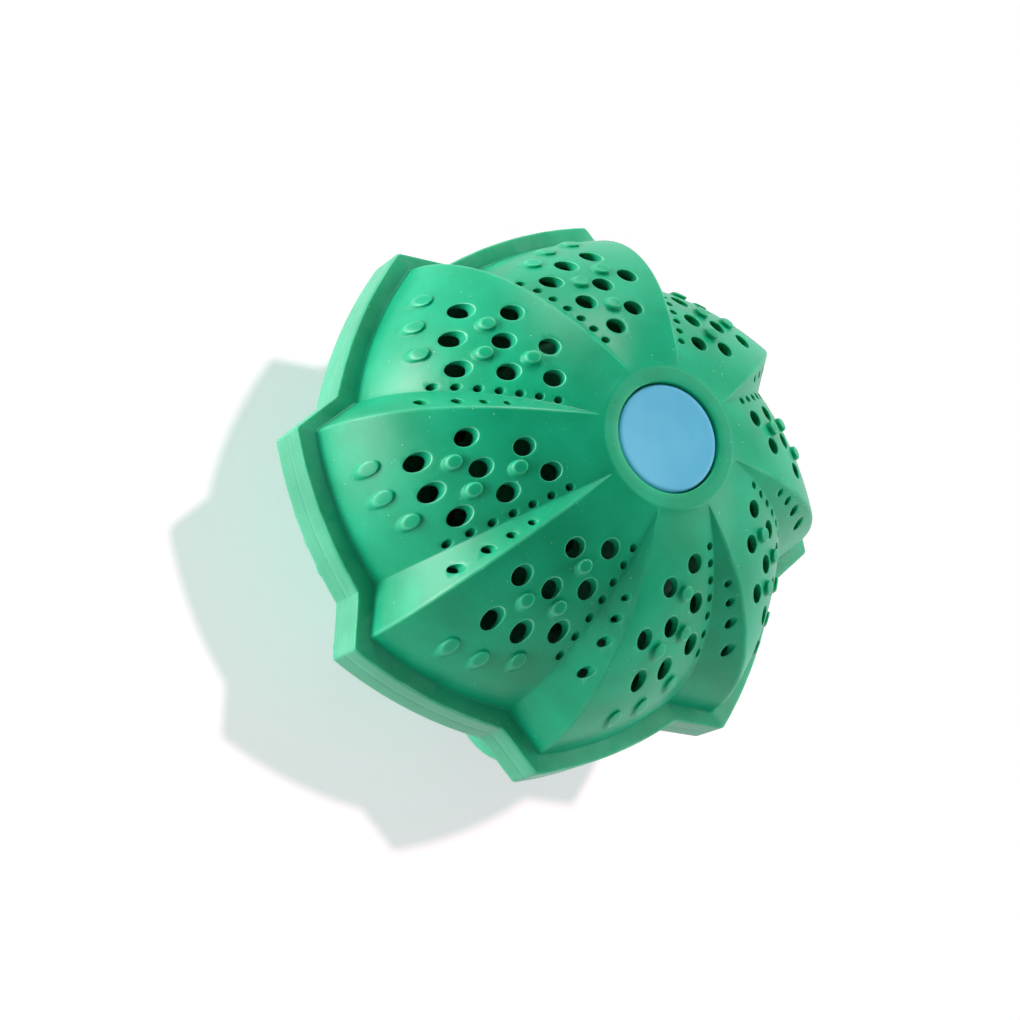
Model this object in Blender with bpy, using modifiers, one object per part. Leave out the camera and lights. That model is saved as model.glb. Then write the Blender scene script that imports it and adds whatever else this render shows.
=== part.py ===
"""Laundry ball: two rubber petal shells on a plastic core with ceramic beads.

Each rubber shell is a dome of eight twisted petals on a toothed flange. The two
shells meet at the parting plane, z = 0. Inside is a plastic core in two halves:
a drum with a joint flange round its middle, which a cross-shaped divider splits
into four bead compartments, and at each pole a neck, a collar that carries the
shell, and a hub with a magnet under a blue cap. The pole-to-pole axis is Z.
Sizes are in metres.
"""
import math

import bmesh
import bpy
from mathutils import Matrix, Vector

# Toothed flange, seen along Z
TEETH = 8
TIP_RADIUS = 0.0525
NOTCH_RADIUS = 0.0463
NOTCH_LEAD = math.radians(9.3)
FLANK_RADIUS = 0.0759
FLANGE_HALF_THICKNESS = 0.00485
LEDGE_WIDTH = 0.0037

# Petals
POLE_HEIGHT = 0.04375
POLE_RING_RADIUS = 0.01305
POLE_RING_CHAMFER = 0.0006
POLE_RING_DROP = 0.00015
MEET_LEAD = math.radians(3.9)
VALLEY_ARC_RADIUS = 0.0537
FACE_HOLLOW = 0.0006
SHELL_WALL = 0.0017
RING_THICKNESS = 0.0036
SKIN_STEPS = (3, 6)
HOLLOW_STEPS = (2, 4)

# Wash holes and bosses on a petal's broad face, along and across its row line
ROW_LINE_LEAD = math.radians(0.7)
ROW_OFFSET = 0.0034
ROW_PITCH = 0.0057
HOLE_PITCH = 0.00628
HOLE_RADIUS = 0.00158
HOLE_SIDES = 8
HOLE_ROWS = (
    ("valley row", 0, 0.0088, 3),
    ("middle row", 1, 0.0070, 3),
    ("ridge row", 2, 0.0072, 2),
)
BOSS_RADIUS = 0.0013
BOSS_HEIGHT = 0.0010
BOSS_ROOT = 0.0010
BOSS_SIDES = 8
MID_BOSSES = ((0, 0.0110), (0, 0.0173), (1, 0.0103))
RIM_BOSSES = ((0, 0.0036), (1, 0.0023), (2, 0.0026))

# Small holes on the narrow face of a petal, from the rim to the pole
SIDE_HOLE_LEAD = math.radians(3.5)
SIDE_HOLE_INSET = 0.0107
SIDE_HOLE_SPACING = 0.0043
SIDE_HOLE_SPACING_LOSS = 0.0006
SIDE_HOLE_RADIUS = 0.0011
SIDE_HOLE_RADIUS_LOSS = 0.00018
SIDE_HOLE_COUNT = 4
SIDE_HOLE_SIDES = 6

# Fits
FIT_GAP = 0.0003
BEAD_SIDE_CLEARANCE = 0.0005

# Cap and magnet at each pole
CAP_RADIUS = 0.0099
CAP_THICKNESS = 0.0020
CAP_EDGE_ROUND = 0.0005
CAP_RECESS = 0.0003
SPIGOT_RADIUS = 0.0062
SPIGOT_DEPTH = 0.0012
MAGNET_THICKNESS = 0.0030
MAGNET_CHAMFER = 0.0004

# Core neck and collar
DECK_THICKNESS = 0.0020
COLLAR_RADIUS = 0.0130
COLLAR_THICKNESS = 0.0020
NECK_WALL = 0.0025
WINDOW_WIDTH = 0.0050
WINDOW_MARGIN = 0.0025

# Core drum
DRUM_WALL = 0.0020
DRUM_CHAMFER = 0.0015
END_WALL = 0.0020
LIP_THICKNESS = 0.0009
LIP_DEPTH = 0.0015
SLOT_COUNT = 12
SLOT_WIDTH = 0.0040
SLOT_MARGIN = 0.0016
DRAIN_RADIUS = 0.0018
DRAIN_SIDES = 6
DRAINS_PER_COMPARTMENT = 2
DIVIDER_THICKNESS = 0.0012
JOINT_FLANGE_RADIUS = 0.0365
JOINT_FLANGE_THICKNESS = 0.0015

# Ceramic beads
COMPARTMENTS = 4
BEAD_RADIUS = 0.0040
BEAD_LAYERS = 3
BEAD_GRID = 2
BEAD_HEADROOM = 0.0092
BEAD_SEGMENTS = 8
BEAD_RINGS = 4

TURN_STEPS = 24
OVERSHOOT = 0.0010
WELD = 0.00001

# Sizes that follow from the ones above
TOOTH_ANGLE = 2.0 * math.pi / TEETH
RIDGE_BASE_RADIUS = TIP_RADIUS - LEDGE_WIDTH
VALLEY_BASE_RADIUS = NOTCH_RADIUS - LEDGE_WIDTH
RING_EDGE_HEIGHT = POLE_HEIGHT - POLE_RING_DROP
ROW_LINE_ANGLE = TOOTH_ANGLE - NOTCH_LEAD - ROW_LINE_LEAD
PARTING_HEIGHT = FIT_GAP / 2.0

CAP_TOP = POLE_HEIGHT - CAP_RECESS
CAP_UNDERSIDE = CAP_TOP - CAP_THICKNESS
SPIGOT_END = CAP_UNDERSIDE - SPIGOT_DEPTH
MAGNET_TOP = SPIGOT_END - FIT_GAP
POCKET_FLOOR = MAGNET_TOP - MAGNET_THICKNESS - FIT_GAP
POCKET_RADIUS = SPIGOT_RADIUS + FIT_GAP
HUB_TOP = CAP_UNDERSIDE - FIT_GAP
NECK_CEILING = POCKET_FLOOR - DECK_THICKNESS
RING_UNDERSIDE = POLE_HEIGHT - RING_THICKNESS
COLLAR_TOP = RING_UNDERSIDE - FIT_GAP
COLLAR_BOTTOM = COLLAR_TOP - COLLAR_THICKNESS
OPENING_RADIUS = CAP_RADIUS + FIT_GAP
NECK_BORE = CAP_RADIUS - NECK_WALL

BEAD_PITCH = 2.0 * BEAD_RADIUS + FIT_GAP
BEAD_FIRST = DIVIDER_THICKNESS / 2.0 + FIT_GAP + BEAD_RADIUS
BEAD_LAST = BEAD_FIRST + (BEAD_GRID - 1) * BEAD_PITCH
DRUM_BORE = math.hypot(BEAD_LAST, BEAD_LAST) + BEAD_RADIUS + BEAD_SIDE_CLEARANCE
DRUM_RADIUS = DRUM_BORE + DRUM_WALL
STACK_HEIGHT = BEAD_LAYERS * BEAD_PITCH + FIT_GAP
CHAMBER_HALF = (STACK_HEIGHT + BEAD_HEADROOM) / 2.0
DRUM_HALF = CHAMBER_HALF + END_WALL

MATERIALS = {
    "shell_green": ((0.012, 0.370, 0.190), 0.45, 0.0),
    "cap_blue": ((0.150, 0.470, 0.720), 0.35, 0.0),
    "core_dark": ((0.012, 0.030, 0.024), 0.45, 0.0),
    "divider_dark": ((0.020, 0.045, 0.036), 0.45, 0.0),
    "magnet_steel": ((0.450, 0.450, 0.460), 0.30, 1.0),
    "bead_white": ((0.780, 0.760, 0.720), 0.70, 0.0),
    "bead_tan": ((0.560, 0.400, 0.250), 0.70, 0.0),
    "bead_grey": ((0.260, 0.270, 0.280), 0.70, 0.0),
    "bead_rust": ((0.380, 0.140, 0.080), 0.70, 0.0),
}
BEAD_KINDS = ("white", "tan", "grey", "rust")


def clear_scene():
    """Remove every object, so that the script starts from nothing."""
    for obj in list(bpy.data.objects):
        bpy.data.objects.remove(obj, do_unlink=True)


def new_collection(name, hidden=False):
    """Make a collection in the scene."""
    collection = bpy.data.collections.new(name)
    bpy.context.scene.collection.children.link(collection)
    collection.hide_render = hidden
    return collection


def make_materials():
    """Make one Principled material for each finish."""
    made = {}
    for name, (colour, roughness, metallic) in MATERIALS.items():
        material = bpy.data.materials.new(name)
        material.use_nodes = True
        shader = material.node_tree.nodes["Principled BSDF"]
        shader.inputs["Base Color"].default_value = (*colour, 1.0)
        shader.inputs["Roughness"].default_value = roughness
        shader.inputs["Metallic"].default_value = metallic
        made[name] = material
    return made


def add_object(name, mesh, collection, material=None):
    """Link a mesh as a named object."""
    obj = bpy.data.objects.new(name, mesh)
    collection.objects.link(obj)
    if material is not None:
        mesh.materials.clear()
        mesh.materials.append(material)
    return obj


def mesh_from(name, bm):
    """Turn a bmesh into a mesh with its faces pointing out."""
    bmesh.ops.recalc_face_normals(bm, faces=bm.faces)
    mesh = bpy.data.meshes.new(name)
    bm.to_mesh(mesh)
    bm.free()
    return mesh


def add_cutter(name, mesh, cutters):
    """Link a mesh as a cutter, which is no part of the ball."""
    cutter = add_object(name, mesh, cutters)
    cutter.display_type = "WIRE"
    cutter.hide_render = True
    return cutter


def boolean(obj, tool, operation):
    """Join or cut an object with a tool by an exact Boolean."""
    modifier = obj.modifiers.new(f"{operation.lower()} {tool.name}", "BOOLEAN")
    modifier.operation = operation
    modifier.solver = "EXACT"
    modifier.object = tool


def turned_mesh(name, profile, steps=TURN_STEPS):
    """Turn a profile of (radius, height) points, from top to bottom, about Z."""
    mesh = bpy.data.meshes.new(f"{name} profile")
    points = [(radius, 0.0, height) for radius, height in profile]
    edges = [(index, index + 1) for index in range(len(points) - 1)]
    mesh.from_pydata(points, edges, [])
    guide = bpy.data.objects.new(f"{name} guide", mesh)
    bpy.context.scene.collection.objects.link(guide)
    screw = guide.modifiers.new("turn", "SCREW")
    screw.axis = "Z"
    screw.angle = 2.0 * math.pi
    screw.steps = steps
    screw.render_steps = steps
    screw.use_merge_vertices = True
    screw.merge_threshold = WELD
    bpy.context.view_layer.update()
    depsgraph = bpy.context.evaluated_depsgraph_get()
    turned = bpy.data.meshes.new_from_object(guide.evaluated_get(depsgraph))
    turned.name = name
    bpy.data.objects.remove(guide, do_unlink=True)
    return turned


def add_prism(bm, place, radius, sides, low, high):
    """Add an upright prism to a bmesh and return its vertices."""
    centre = Vector((place[0], place[1], (low + high) / 2.0))
    made = bmesh.ops.create_cone(
        bm, cap_ends=True, segments=sides, radius1=radius, radius2=radius,
        depth=high - low, matrix=Matrix.Translation(centre))
    return made["verts"]


def add_box(bm, size, centre, turn=0.0):
    """Add a box of a given size to a bmesh, turned about Z."""
    matrix = (Matrix.Rotation(turn, 4, "Z") @ Matrix.Translation(Vector(centre))
              @ Matrix.Diagonal((*size, 1.0)))
    bmesh.ops.create_cube(bm, size=1.0, matrix=matrix)


def polar(radius, angle):
    """Give the plan place of a radius and an angle."""
    return Vector((radius * math.cos(angle), radius * math.sin(angle)))


def mix(low, high, share):
    """Blend two numbers or two vectors."""
    return low * (1.0 - share) + high * share


def arc_centre(start, end, radius):
    """Give the centre, nearer the axis, of an arc between two points."""
    chord = end - start
    normal = Vector((chord.y, -chord.x)).normalized()
    reach = math.sqrt(radius ** 2 - chord.length_squared / 4.0)
    middle = (start + end) / 2.0
    return min((middle + normal * reach, middle - normal * reach), key=lambda c: c.length)


class Dome:
    """The lofted skin of a petal dome, a given depth below the outer surface.

    A ridge runs over each petal on a quarter ellipse and a valley runs beside it
    on an arc. In plan both are straight and meet at the pole ring. The broad
    face turns from a ridge to the next valley and is slightly hollow, and the
    narrow face is ruled from a valley to its ridge. The steps are those across
    a broad face and those up a ridge.
    """

    def __init__(self, depth, steps):
        self.face_steps, self.profile_steps = steps
        ridge = self.ridge_axes()
        self.ridge_reach = ridge[0] - depth
        self.ridge_rise = ridge[1] - depth
        base = Vector((VALLEY_BASE_RADIUS, FLANGE_HALF_THICKNESS))
        edge = Vector((POLE_RING_RADIUS, RING_EDGE_HEIGHT))
        self.valley_centre = arc_centre(base, edge, VALLEY_ARC_RADIUS)
        self.valley_radius = VALLEY_ARC_RADIUS - depth

    @staticmethod
    def ridge_axes():
        """Give the half axes of the ellipse through a ridge's two ends."""
        base = (RIDGE_BASE_RADIUS ** 2, FLANGE_HALF_THICKNESS ** 2)
        edge = (POLE_RING_RADIUS ** 2, RING_EDGE_HEIGHT ** 2)
        scale = base[0] * edge[1] - base[1] * edge[0]
        reach = math.sqrt(scale / (edge[1] - base[1]))
        rise = math.sqrt(scale / (base[0] - edge[0]))
        return reach, rise

    def ridge_radius(self, height):
        """Give a ridge's distance from the axis at a height."""
        return self.ridge_reach * math.sqrt(max(0.0, 1.0 - (height / self.ridge_rise) ** 2))

    def valley_reach(self, height):
        """Give a valley's distance from the axis at a height."""
        drop = height - self.valley_centre.y
        return self.valley_centre.x + math.sqrt(max(0.0, self.valley_radius ** 2 - drop ** 2))

    def along(self, radius, base_radius, base_lead):
        """Give the plan place of a ridge or valley at a distance from the axis."""
        share = (base_radius - radius) / (base_radius - POLE_RING_RADIUS)
        return mix(polar(base_radius, -base_lead), polar(POLE_RING_RADIUS, -MEET_LEAD), share)

    def ridge(self, height):
        """Give the plan place of the first ridge at a height."""
        return self.along(self.ridge_radius(height), RIDGE_BASE_RADIUS, 0.0)

    def valley(self, height):
        """Give the plan place of the first valley at a height."""
        return self.along(self.valley_reach(height), VALLEY_BASE_RADIUS, NOTCH_LEAD)

    def broad_face(self, height, share):
        """Give radius and angle on the broad face, from the ridge at 0 to the valley at 1."""
        ridge = self.ridge(height)
        valley = self.valley(height)
        ridge_angle = math.atan2(ridge.y, ridge.x)
        valley_angle = math.atan2(valley.y, valley.x) + TOOTH_ANGLE
        hollow = FACE_HOLLOW * ridge.length / RIDGE_BASE_RADIUS
        radius = mix(ridge.length, valley.length, share) - hollow * 4.0 * share * (1.0 - share)
        return radius, mix(ridge_angle, valley_angle, share)

    def levels(self, low, high):
        """Give heights that space the rows evenly round a ridge's ellipse."""
        start = math.asin(low / self.ridge_rise)
        end = math.asin(high / self.ridge_rise)
        shares = [step / self.profile_steps for step in range(self.profile_steps + 1)]
        return [self.ridge_rise * math.sin(mix(start, end, share)) for share in shares]

    def loop(self, height):
        """Give the plan places round the dome at a height."""
        places = []
        for tooth in range(TEETH):
            turn = tooth * TOOTH_ANGLE
            for step in range(self.face_steps + 1):
                radius, angle = self.broad_face(height, step / self.face_steps)
                places.append(polar(radius, angle + turn))
        return places

    def level_of(self, place):
        """Give the height of the broad face over a plan place, by halving."""
        radius = place.length
        angle = math.atan2(place.y, place.x)
        low = 0.0
        high = RING_EDGE_HEIGHT
        for _ in range(40):
            height = (low + high) / 2.0
            ridge = self.ridge(height)
            valley = self.valley(height)
            start = math.atan2(ridge.y, ridge.x)
            end = math.atan2(valley.y, valley.x) + TOOTH_ANGLE
            share = min(1.0, max(0.0, (angle - start) / (end - start)))
            if self.broad_face(height, share)[0] > radius:
                low = height
            else:
                high = height
        return (low + high) / 2.0


def flange_loop(steps):
    """Give the plan places round the toothed flange, with some steps to a flank."""
    tip = polar(TIP_RADIUS, 0.0)
    notch = polar(NOTCH_RADIUS, TOOTH_ANGLE - NOTCH_LEAD)
    centre = arc_centre(tip, notch, FLANK_RADIUS)
    start = math.atan2(tip.y - centre.y, tip.x - centre.x)
    end = math.atan2(notch.y - centre.y, notch.x - centre.x)
    places = []
    for tooth in range(TEETH):
        turn = Matrix.Rotation(tooth * TOOTH_ANGLE, 2)
        for step in range(steps + 1):
            angle = mix(start, end, step / steps)
            places.append(turn @ (centre + polar(FLANK_RADIUS, angle)))
    return places


def loft(bm, sections):
    """Join a stack of closed plan loops, each with its height, into a closed skin."""
    rings = []
    for places, height in sections:
        rings.append([bm.verts.new((place.x, place.y, height)) for place in places])
    for lower, upper in zip(rings, rings[1:]):
        for index in range(len(lower)):
            following = (index + 1) % len(lower)
            bm.faces.new((lower[index], lower[following], upper[following], upper[index]))
    bm.faces.new(list(reversed(rings[0])))
    bm.faces.new(rings[-1])
    bmesh.ops.remove_doubles(bm, verts=bm.verts, dist=WELD)
    bmesh.ops.triangulate(bm, faces=[face for face in bm.faces if len(face.verts) > 3])


def dome_solid():
    """Make the solid dome on its flange, before it is hollowed."""
    dome = Dome(0.0, SKIN_STEPS)
    flange = flange_loop(dome.face_steps)
    sections = [(flange, PARTING_HEIGHT), (flange, FLANGE_HALF_THICKNESS)]
    for height in dome.levels(FLANGE_HALF_THICKNESS, RING_EDGE_HEIGHT):
        sections.append((dome.loop(height), height))
    flat_radius = POLE_RING_RADIUS - POLE_RING_CHAMFER
    flat = [place.normalized() * flat_radius for place in sections[-1][0]]
    sections.append((flat, POLE_HEIGHT))
    bm = bmesh.new()
    loft(bm, sections)
    return mesh_from("upper_shell", bm)


def dome_hollow():
    """Make the hollow that leaves the shell's wall."""
    inner = Dome(SHELL_WALL, HOLLOW_STEPS)
    foot = inner.loop(PARTING_HEIGHT)
    sections = [(foot, PARTING_HEIGHT - OVERSHOOT)]
    for height in inner.levels(PARTING_HEIGHT, RING_UNDERSIDE):
        sections.append((inner.loop(height), height))
    bm = bmesh.new()
    loft(bm, sections)
    return mesh_from("shell hollow", bm)


def row_place(row, inset):
    """Give a plan place on a petal by its row and its inset from the valley's foot."""
    along = VALLEY_BASE_RADIUS - inset
    across = ROW_OFFSET + row * ROW_PITCH
    return polar(along, ROW_LINE_ANGLE) + polar(across, ROW_LINE_ANGLE - math.pi / 2.0)


def turned_places(place):
    """Repeat a plan place on every petal."""
    return [Matrix.Rotation(tooth * TOOTH_ANGLE, 2) @ place for tooth in range(TEETH)]


def wash_holes():
    """Make the upright prisms that cut the holes of every petal."""
    bm = bmesh.new()
    low = FLANGE_HALF_THICKNESS
    high = POLE_HEIGHT + OVERSHOOT
    for _, row, inset, count in HOLE_ROWS:
        for index in range(count):
            for place in turned_places(row_place(row, inset + index * HOLE_PITCH)):
                add_prism(bm, place, HOLE_RADIUS, HOLE_SIDES, low, high)
    radius = RIDGE_BASE_RADIUS - SIDE_HOLE_INSET
    for index in range(SIDE_HOLE_COUNT):
        size = SIDE_HOLE_RADIUS - index * SIDE_HOLE_RADIUS_LOSS
        for place in turned_places(polar(radius, -SIDE_HOLE_LEAD)):
            add_prism(bm, place, size, SIDE_HOLE_SIDES, low, high)
        radius -= SIDE_HOLE_SPACING - index * SIDE_HOLE_SPACING_LOSS
    return mesh_from("wash holes", bm)


def boss_places():
    """Give the plan places of one petal's bosses."""
    mids = [row_place(row + 0.5, inset) for row, inset in MID_BOSSES]
    rims = [row_place(row + 0.5, inset) for row, inset in RIM_BOSSES]
    return mids + rims


def boss_solids():
    """Make the bosses, upright pegs whose tops lie along the petal."""
    dome = Dome(0.0, SKIN_STEPS)
    bm = bmesh.new()
    for place in boss_places():
        for tooth in range(TEETH):
            verts = add_prism(bm, place, BOSS_RADIUS, BOSS_SIDES, -BOSS_ROOT, BOSS_HEIGHT)
            for vert in verts:
                vert.co.z += dome.level_of(vert.co.xy)
            turn = Matrix.Rotation(tooth * TOOTH_ANGLE, 4, "Z")
            bmesh.ops.transform(bm, matrix=turn, verts=verts)
    bmesh.ops.triangulate(bm, faces=[face for face in bm.faces if len(face.verts) > 3])
    return mesh_from("bosses", bm)


def settled_mesh(obj, name):
    """Give an object's mesh with its modifiers applied."""
    bpy.context.view_layer.update()
    depsgraph = bpy.context.evaluated_depsgraph_get()
    mesh = bpy.data.meshes.new_from_object(obj.evaluated_get(depsgraph))
    mesh.name = name
    return mesh


def mirrored(mesh, name):
    """Copy a mesh to the other side of the parting plane."""
    copy = mesh.copy()
    copy.name = name
    copy.transform(Matrix.Diagonal((1.0, 1.0, -1.0, 1.0)))
    copy.flip_normals()
    return copy


def add_shells(parts, cutters, material):
    """Make the upper shell, and the lower one as its mirror image."""
    upper = add_object("upper_shell", dome_solid(), parts, material)
    opening = turned_mesh("pole opening", [
        (0.0, POLE_HEIGHT + OVERSHOOT), (OPENING_RADIUS, POLE_HEIGHT + OVERSHOOT),
        (OPENING_RADIUS, RING_UNDERSIDE - OVERSHOOT), (0.0, RING_UNDERSIDE - OVERSHOOT)])
    boolean(upper, add_cutter("boss pegs", boss_solids(), cutters), "UNION")
    boolean(upper, add_cutter("shell hollow", dome_hollow(), cutters), "DIFFERENCE")
    boolean(upper, add_cutter("pole opening", opening, cutters), "DIFFERENCE")
    boolean(upper, add_cutter("wash holes", wash_holes(), cutters), "DIFFERENCE")
    lower = mirrored(settled_mesh(upper, "lower_shell"), "lower_shell")
    add_object("lower_shell", lower, parts, material)


def core_profile(with_lip):
    """Give the outer profile of a core half, from its hub to its joint flange."""
    profile = [
        (0.0, HUB_TOP),
        (CAP_RADIUS, HUB_TOP),
        (CAP_RADIUS, COLLAR_TOP),
        (COLLAR_RADIUS, COLLAR_TOP),
        (COLLAR_RADIUS, COLLAR_BOTTOM),
        (CAP_RADIUS, COLLAR_BOTTOM),
        (CAP_RADIUS, DRUM_HALF),
        (DRUM_RADIUS - DRUM_CHAMFER, DRUM_HALF),
        (DRUM_RADIUS, DRUM_HALF - DRUM_CHAMFER),
        (DRUM_RADIUS, PARTING_HEIGHT + JOINT_FLANGE_THICKNESS),
        (JOINT_FLANGE_RADIUS, PARTING_HEIGHT + JOINT_FLANGE_THICKNESS),
        (JOINT_FLANGE_RADIUS, PARTING_HEIGHT),
    ]
    if with_lip:
        profile += [(DRUM_BORE + LIP_THICKNESS, PARTING_HEIGHT), (DRUM_BORE + LIP_THICKNESS, -LIP_DEPTH),
                    (0.0, -LIP_DEPTH)]
    else:
        profile.append((0.0, PARTING_HEIGHT))
    return profile


def core_hollows():
    """Make the cutter of a core half's bores: chamber, neck and magnet pocket."""
    return (
        turned_mesh("chamber", [
            (0.0, CHAMBER_HALF), (DRUM_BORE, CHAMBER_HALF),
            (DRUM_BORE, -LIP_DEPTH - OVERSHOOT), (0.0, -LIP_DEPTH - OVERSHOOT)]),
        turned_mesh("neck bore", [
            (0.0, NECK_CEILING), (NECK_BORE, NECK_CEILING), (NECK_BORE, DRUM_HALF), (0.0, DRUM_HALF)]),
        turned_mesh("magnet pocket", [
            (0.0, HUB_TOP + OVERSHOOT), (POCKET_RADIUS, HUB_TOP + OVERSHOOT),
            (POCKET_RADIUS, POCKET_FLOOR), (0.0, POCKET_FLOOR)]),
    )


def core_windows():
    """Make the cutter of the water slots, drains and neck windows."""
    bm = bmesh.new()
    slot_low = max(PARTING_HEIGHT + JOINT_FLANGE_THICKNESS, LIP_DEPTH + FIT_GAP) + SLOT_MARGIN
    slot_high = CHAMBER_HALF - SLOT_MARGIN
    facet = 2.0 * math.pi / TURN_STEPS
    reach = DRUM_WALL + 2.0 * OVERSHOOT
    middle = DRUM_BORE + DRUM_WALL / 2.0
    for index in range(SLOT_COUNT):
        turn = index * 2.0 * math.pi / SLOT_COUNT + facet / 2.0
        add_box(bm, (reach, SLOT_WIDTH, slot_high - slot_low),
                (middle, 0.0, (slot_low + slot_high) / 2.0), turn)
    drain_circle = (NECK_BORE + DRUM_BORE) / 2.0
    drains = COMPARTMENTS * DRAINS_PER_COMPARTMENT
    for index in range(drains):
        place = polar(drain_circle, (index + 0.5) * 2.0 * math.pi / drains)
        add_prism(bm, place, DRAIN_RADIUS, DRAIN_SIDES, CHAMBER_HALF - OVERSHOOT, DRUM_HALF + OVERSHOOT)
    window_low = DRUM_HALF + WINDOW_MARGIN
    window_high = NECK_CEILING - WINDOW_MARGIN
    wall_middle = CAP_RADIUS - NECK_WALL / 2.0
    for index in range(COMPARTMENTS):
        turn = index * 2.0 * math.pi / COMPARTMENTS
        add_box(bm, (NECK_WALL + 2.0 * OVERSHOOT, WINDOW_WIDTH, window_high - window_low),
                (wall_middle, 0.0, (window_low + window_high) / 2.0), turn)
    return mesh_from("core windows", bm)


def lap_rebate():
    """Make the cutter of the rebate that takes the other half's lip."""
    radius = DRUM_BORE + LIP_THICKNESS + FIT_GAP
    depth = LIP_DEPTH + FIT_GAP
    return turned_mesh("lap rebate", [
        (0.0, depth), (radius, depth), (radius, -OVERSHOOT), (0.0, -OVERSHOOT)])


def add_core(parts, cutters, material):
    """Make both halves of the core. The upper has the lip and the lower the rebate."""
    tools = [add_cutter(mesh.name, mesh, cutters) for mesh in core_hollows()]
    tools.append(add_cutter("core windows", core_windows(), cutters))
    upper = add_object("upper_core_half", turned_mesh("upper_core_half", core_profile(True)),
                       parts, material)
    for tool in tools:
        boolean(upper, tool, "DIFFERENCE")
    pattern = add_object("lower core pattern", turned_mesh("lower core pattern", core_profile(False)),
                         cutters)
    tools.append(add_cutter("lap rebate", lap_rebate(), cutters))
    for tool in tools:
        boolean(pattern, tool, "DIFFERENCE")
    lower = mirrored(settled_mesh(pattern, "lower_core_half"), "lower_core_half")
    bpy.data.objects.remove(pattern, do_unlink=True)
    add_object("lower_core_half", lower, parts, material)


def add_divider(parts, material):
    """Make the cross that parts the drum into compartments."""
    reach = DRUM_BORE - FIT_GAP
    half = CHAMBER_HALF - FIT_GAP
    thickness = DIVIDER_THICKNESS / 2.0
    outline = []
    for arm in range(COMPARTMENTS):
        turn = Matrix.Rotation(arm * 2.0 * math.pi / COMPARTMENTS, 2)
        for corner in ((reach, -thickness), (reach, thickness), (thickness, thickness)):
            outline.append(turn @ Vector(corner))
    bm = bmesh.new()
    base = bm.faces.new([bm.verts.new((place.x, place.y, -half)) for place in outline])
    raised = bmesh.ops.extrude_face_region(bm, geom=[base])
    verts = [item for item in raised["geom"] if isinstance(item, bmesh.types.BMVert)]
    bmesh.ops.translate(bm, verts=verts, vec=(0.0, 0.0, 2.0 * half))
    add_object("core_divider", mesh_from("core_divider", bm), parts, material)


def add_poles(parts, materials):
    """Make the cap and the magnet of each pole."""
    cap = turned_mesh("upper_cap", [
        (0.0, CAP_TOP),
        (CAP_RADIUS - CAP_EDGE_ROUND, CAP_TOP),
        (CAP_RADIUS, CAP_TOP - CAP_EDGE_ROUND),
        (CAP_RADIUS, CAP_UNDERSIDE),
        (SPIGOT_RADIUS, CAP_UNDERSIDE),
        (SPIGOT_RADIUS, SPIGOT_END),
        (0.0, SPIGOT_END),
    ])
    low = MAGNET_TOP - MAGNET_THICKNESS
    magnet = turned_mesh("upper_magnet", [
        (0.0, MAGNET_TOP),
        (SPIGOT_RADIUS - MAGNET_CHAMFER, MAGNET_TOP),
        (SPIGOT_RADIUS, MAGNET_TOP - MAGNET_CHAMFER),
        (SPIGOT_RADIUS, low + MAGNET_CHAMFER),
        (SPIGOT_RADIUS - MAGNET_CHAMFER, low),
        (0.0, low),
    ])
    for kind, mesh, finish in (("cap", cap, "cap_blue"), ("magnet", magnet, "magnet_steel")):
        add_object(f"upper_{kind}", mesh, parts, materials[finish])
        add_object(f"lower_{kind}", mirrored(mesh, f"lower_{kind}"), parts, materials[finish])


def add_beads(parts, materials):
    """Fill each compartment with one kind of bead, in layers on its floor."""
    floor = -CHAMBER_HALF + FIT_GAP + BEAD_RADIUS
    for quarter, kind in enumerate(BEAD_KINDS[:COMPARTMENTS]):
        charge = bpy.data.objects.new(f"{kind}_charge", None)
        parts.objects.link(charge)
        bm = bmesh.new()
        bmesh.ops.create_uvsphere(bm, u_segments=BEAD_SEGMENTS, v_segments=BEAD_RINGS,
                                  radius=BEAD_RADIUS)
        mesh = mesh_from(f"{kind}_bead", bm)
        mesh.shade_smooth()
        turn = Matrix.Rotation(quarter * 2.0 * math.pi / COMPARTMENTS, 2)
        number = 0
        for layer in range(BEAD_LAYERS):
            for row in range(BEAD_GRID):
                for column in range(BEAD_GRID):
                    number += 1
                    corner = Vector((BEAD_FIRST + column * BEAD_PITCH, BEAD_FIRST + row * BEAD_PITCH))
                    place = turn @ corner
                    bead = add_object(f"{kind}_bead_{number:02d}", mesh, parts,
                                      materials[f"bead_{kind}"])
                    bead.location = (place.x, place.y, floor + layer * BEAD_PITCH)
                    bead.parent = charge


def main():
    """Build the laundry ball."""
    clear_scene()
    parts = new_collection("laundry_ball")
    cutters = new_collection("cutters", hidden=True)
    materials = make_materials()
    add_shells(parts, cutters, materials["shell_green"])
    add_core(parts, cutters, materials["core_dark"])
    add_divider(parts, materials["divider_dark"])
    add_poles(parts, materials)
    add_beads(parts, materials)


main()
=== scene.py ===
"""Dressed model of a rubber laundry ball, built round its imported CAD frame.

Two rubber shells of eight twisted petals close over a plastic core that holds
ceramic beads, with a magnet and a blue cap at each pole. The classes below build
the finer shapes and finishes of these pieces, and a plain studio to show them in.
Lengths are in metres and the pole-to-pole axis is Z.
"""
import logging
import math
from dataclasses import dataclass, field, replace
from enum import Enum

import bmesh
import bpy
import numpy as np
from mathutils import Matrix, Vector, noise


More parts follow.
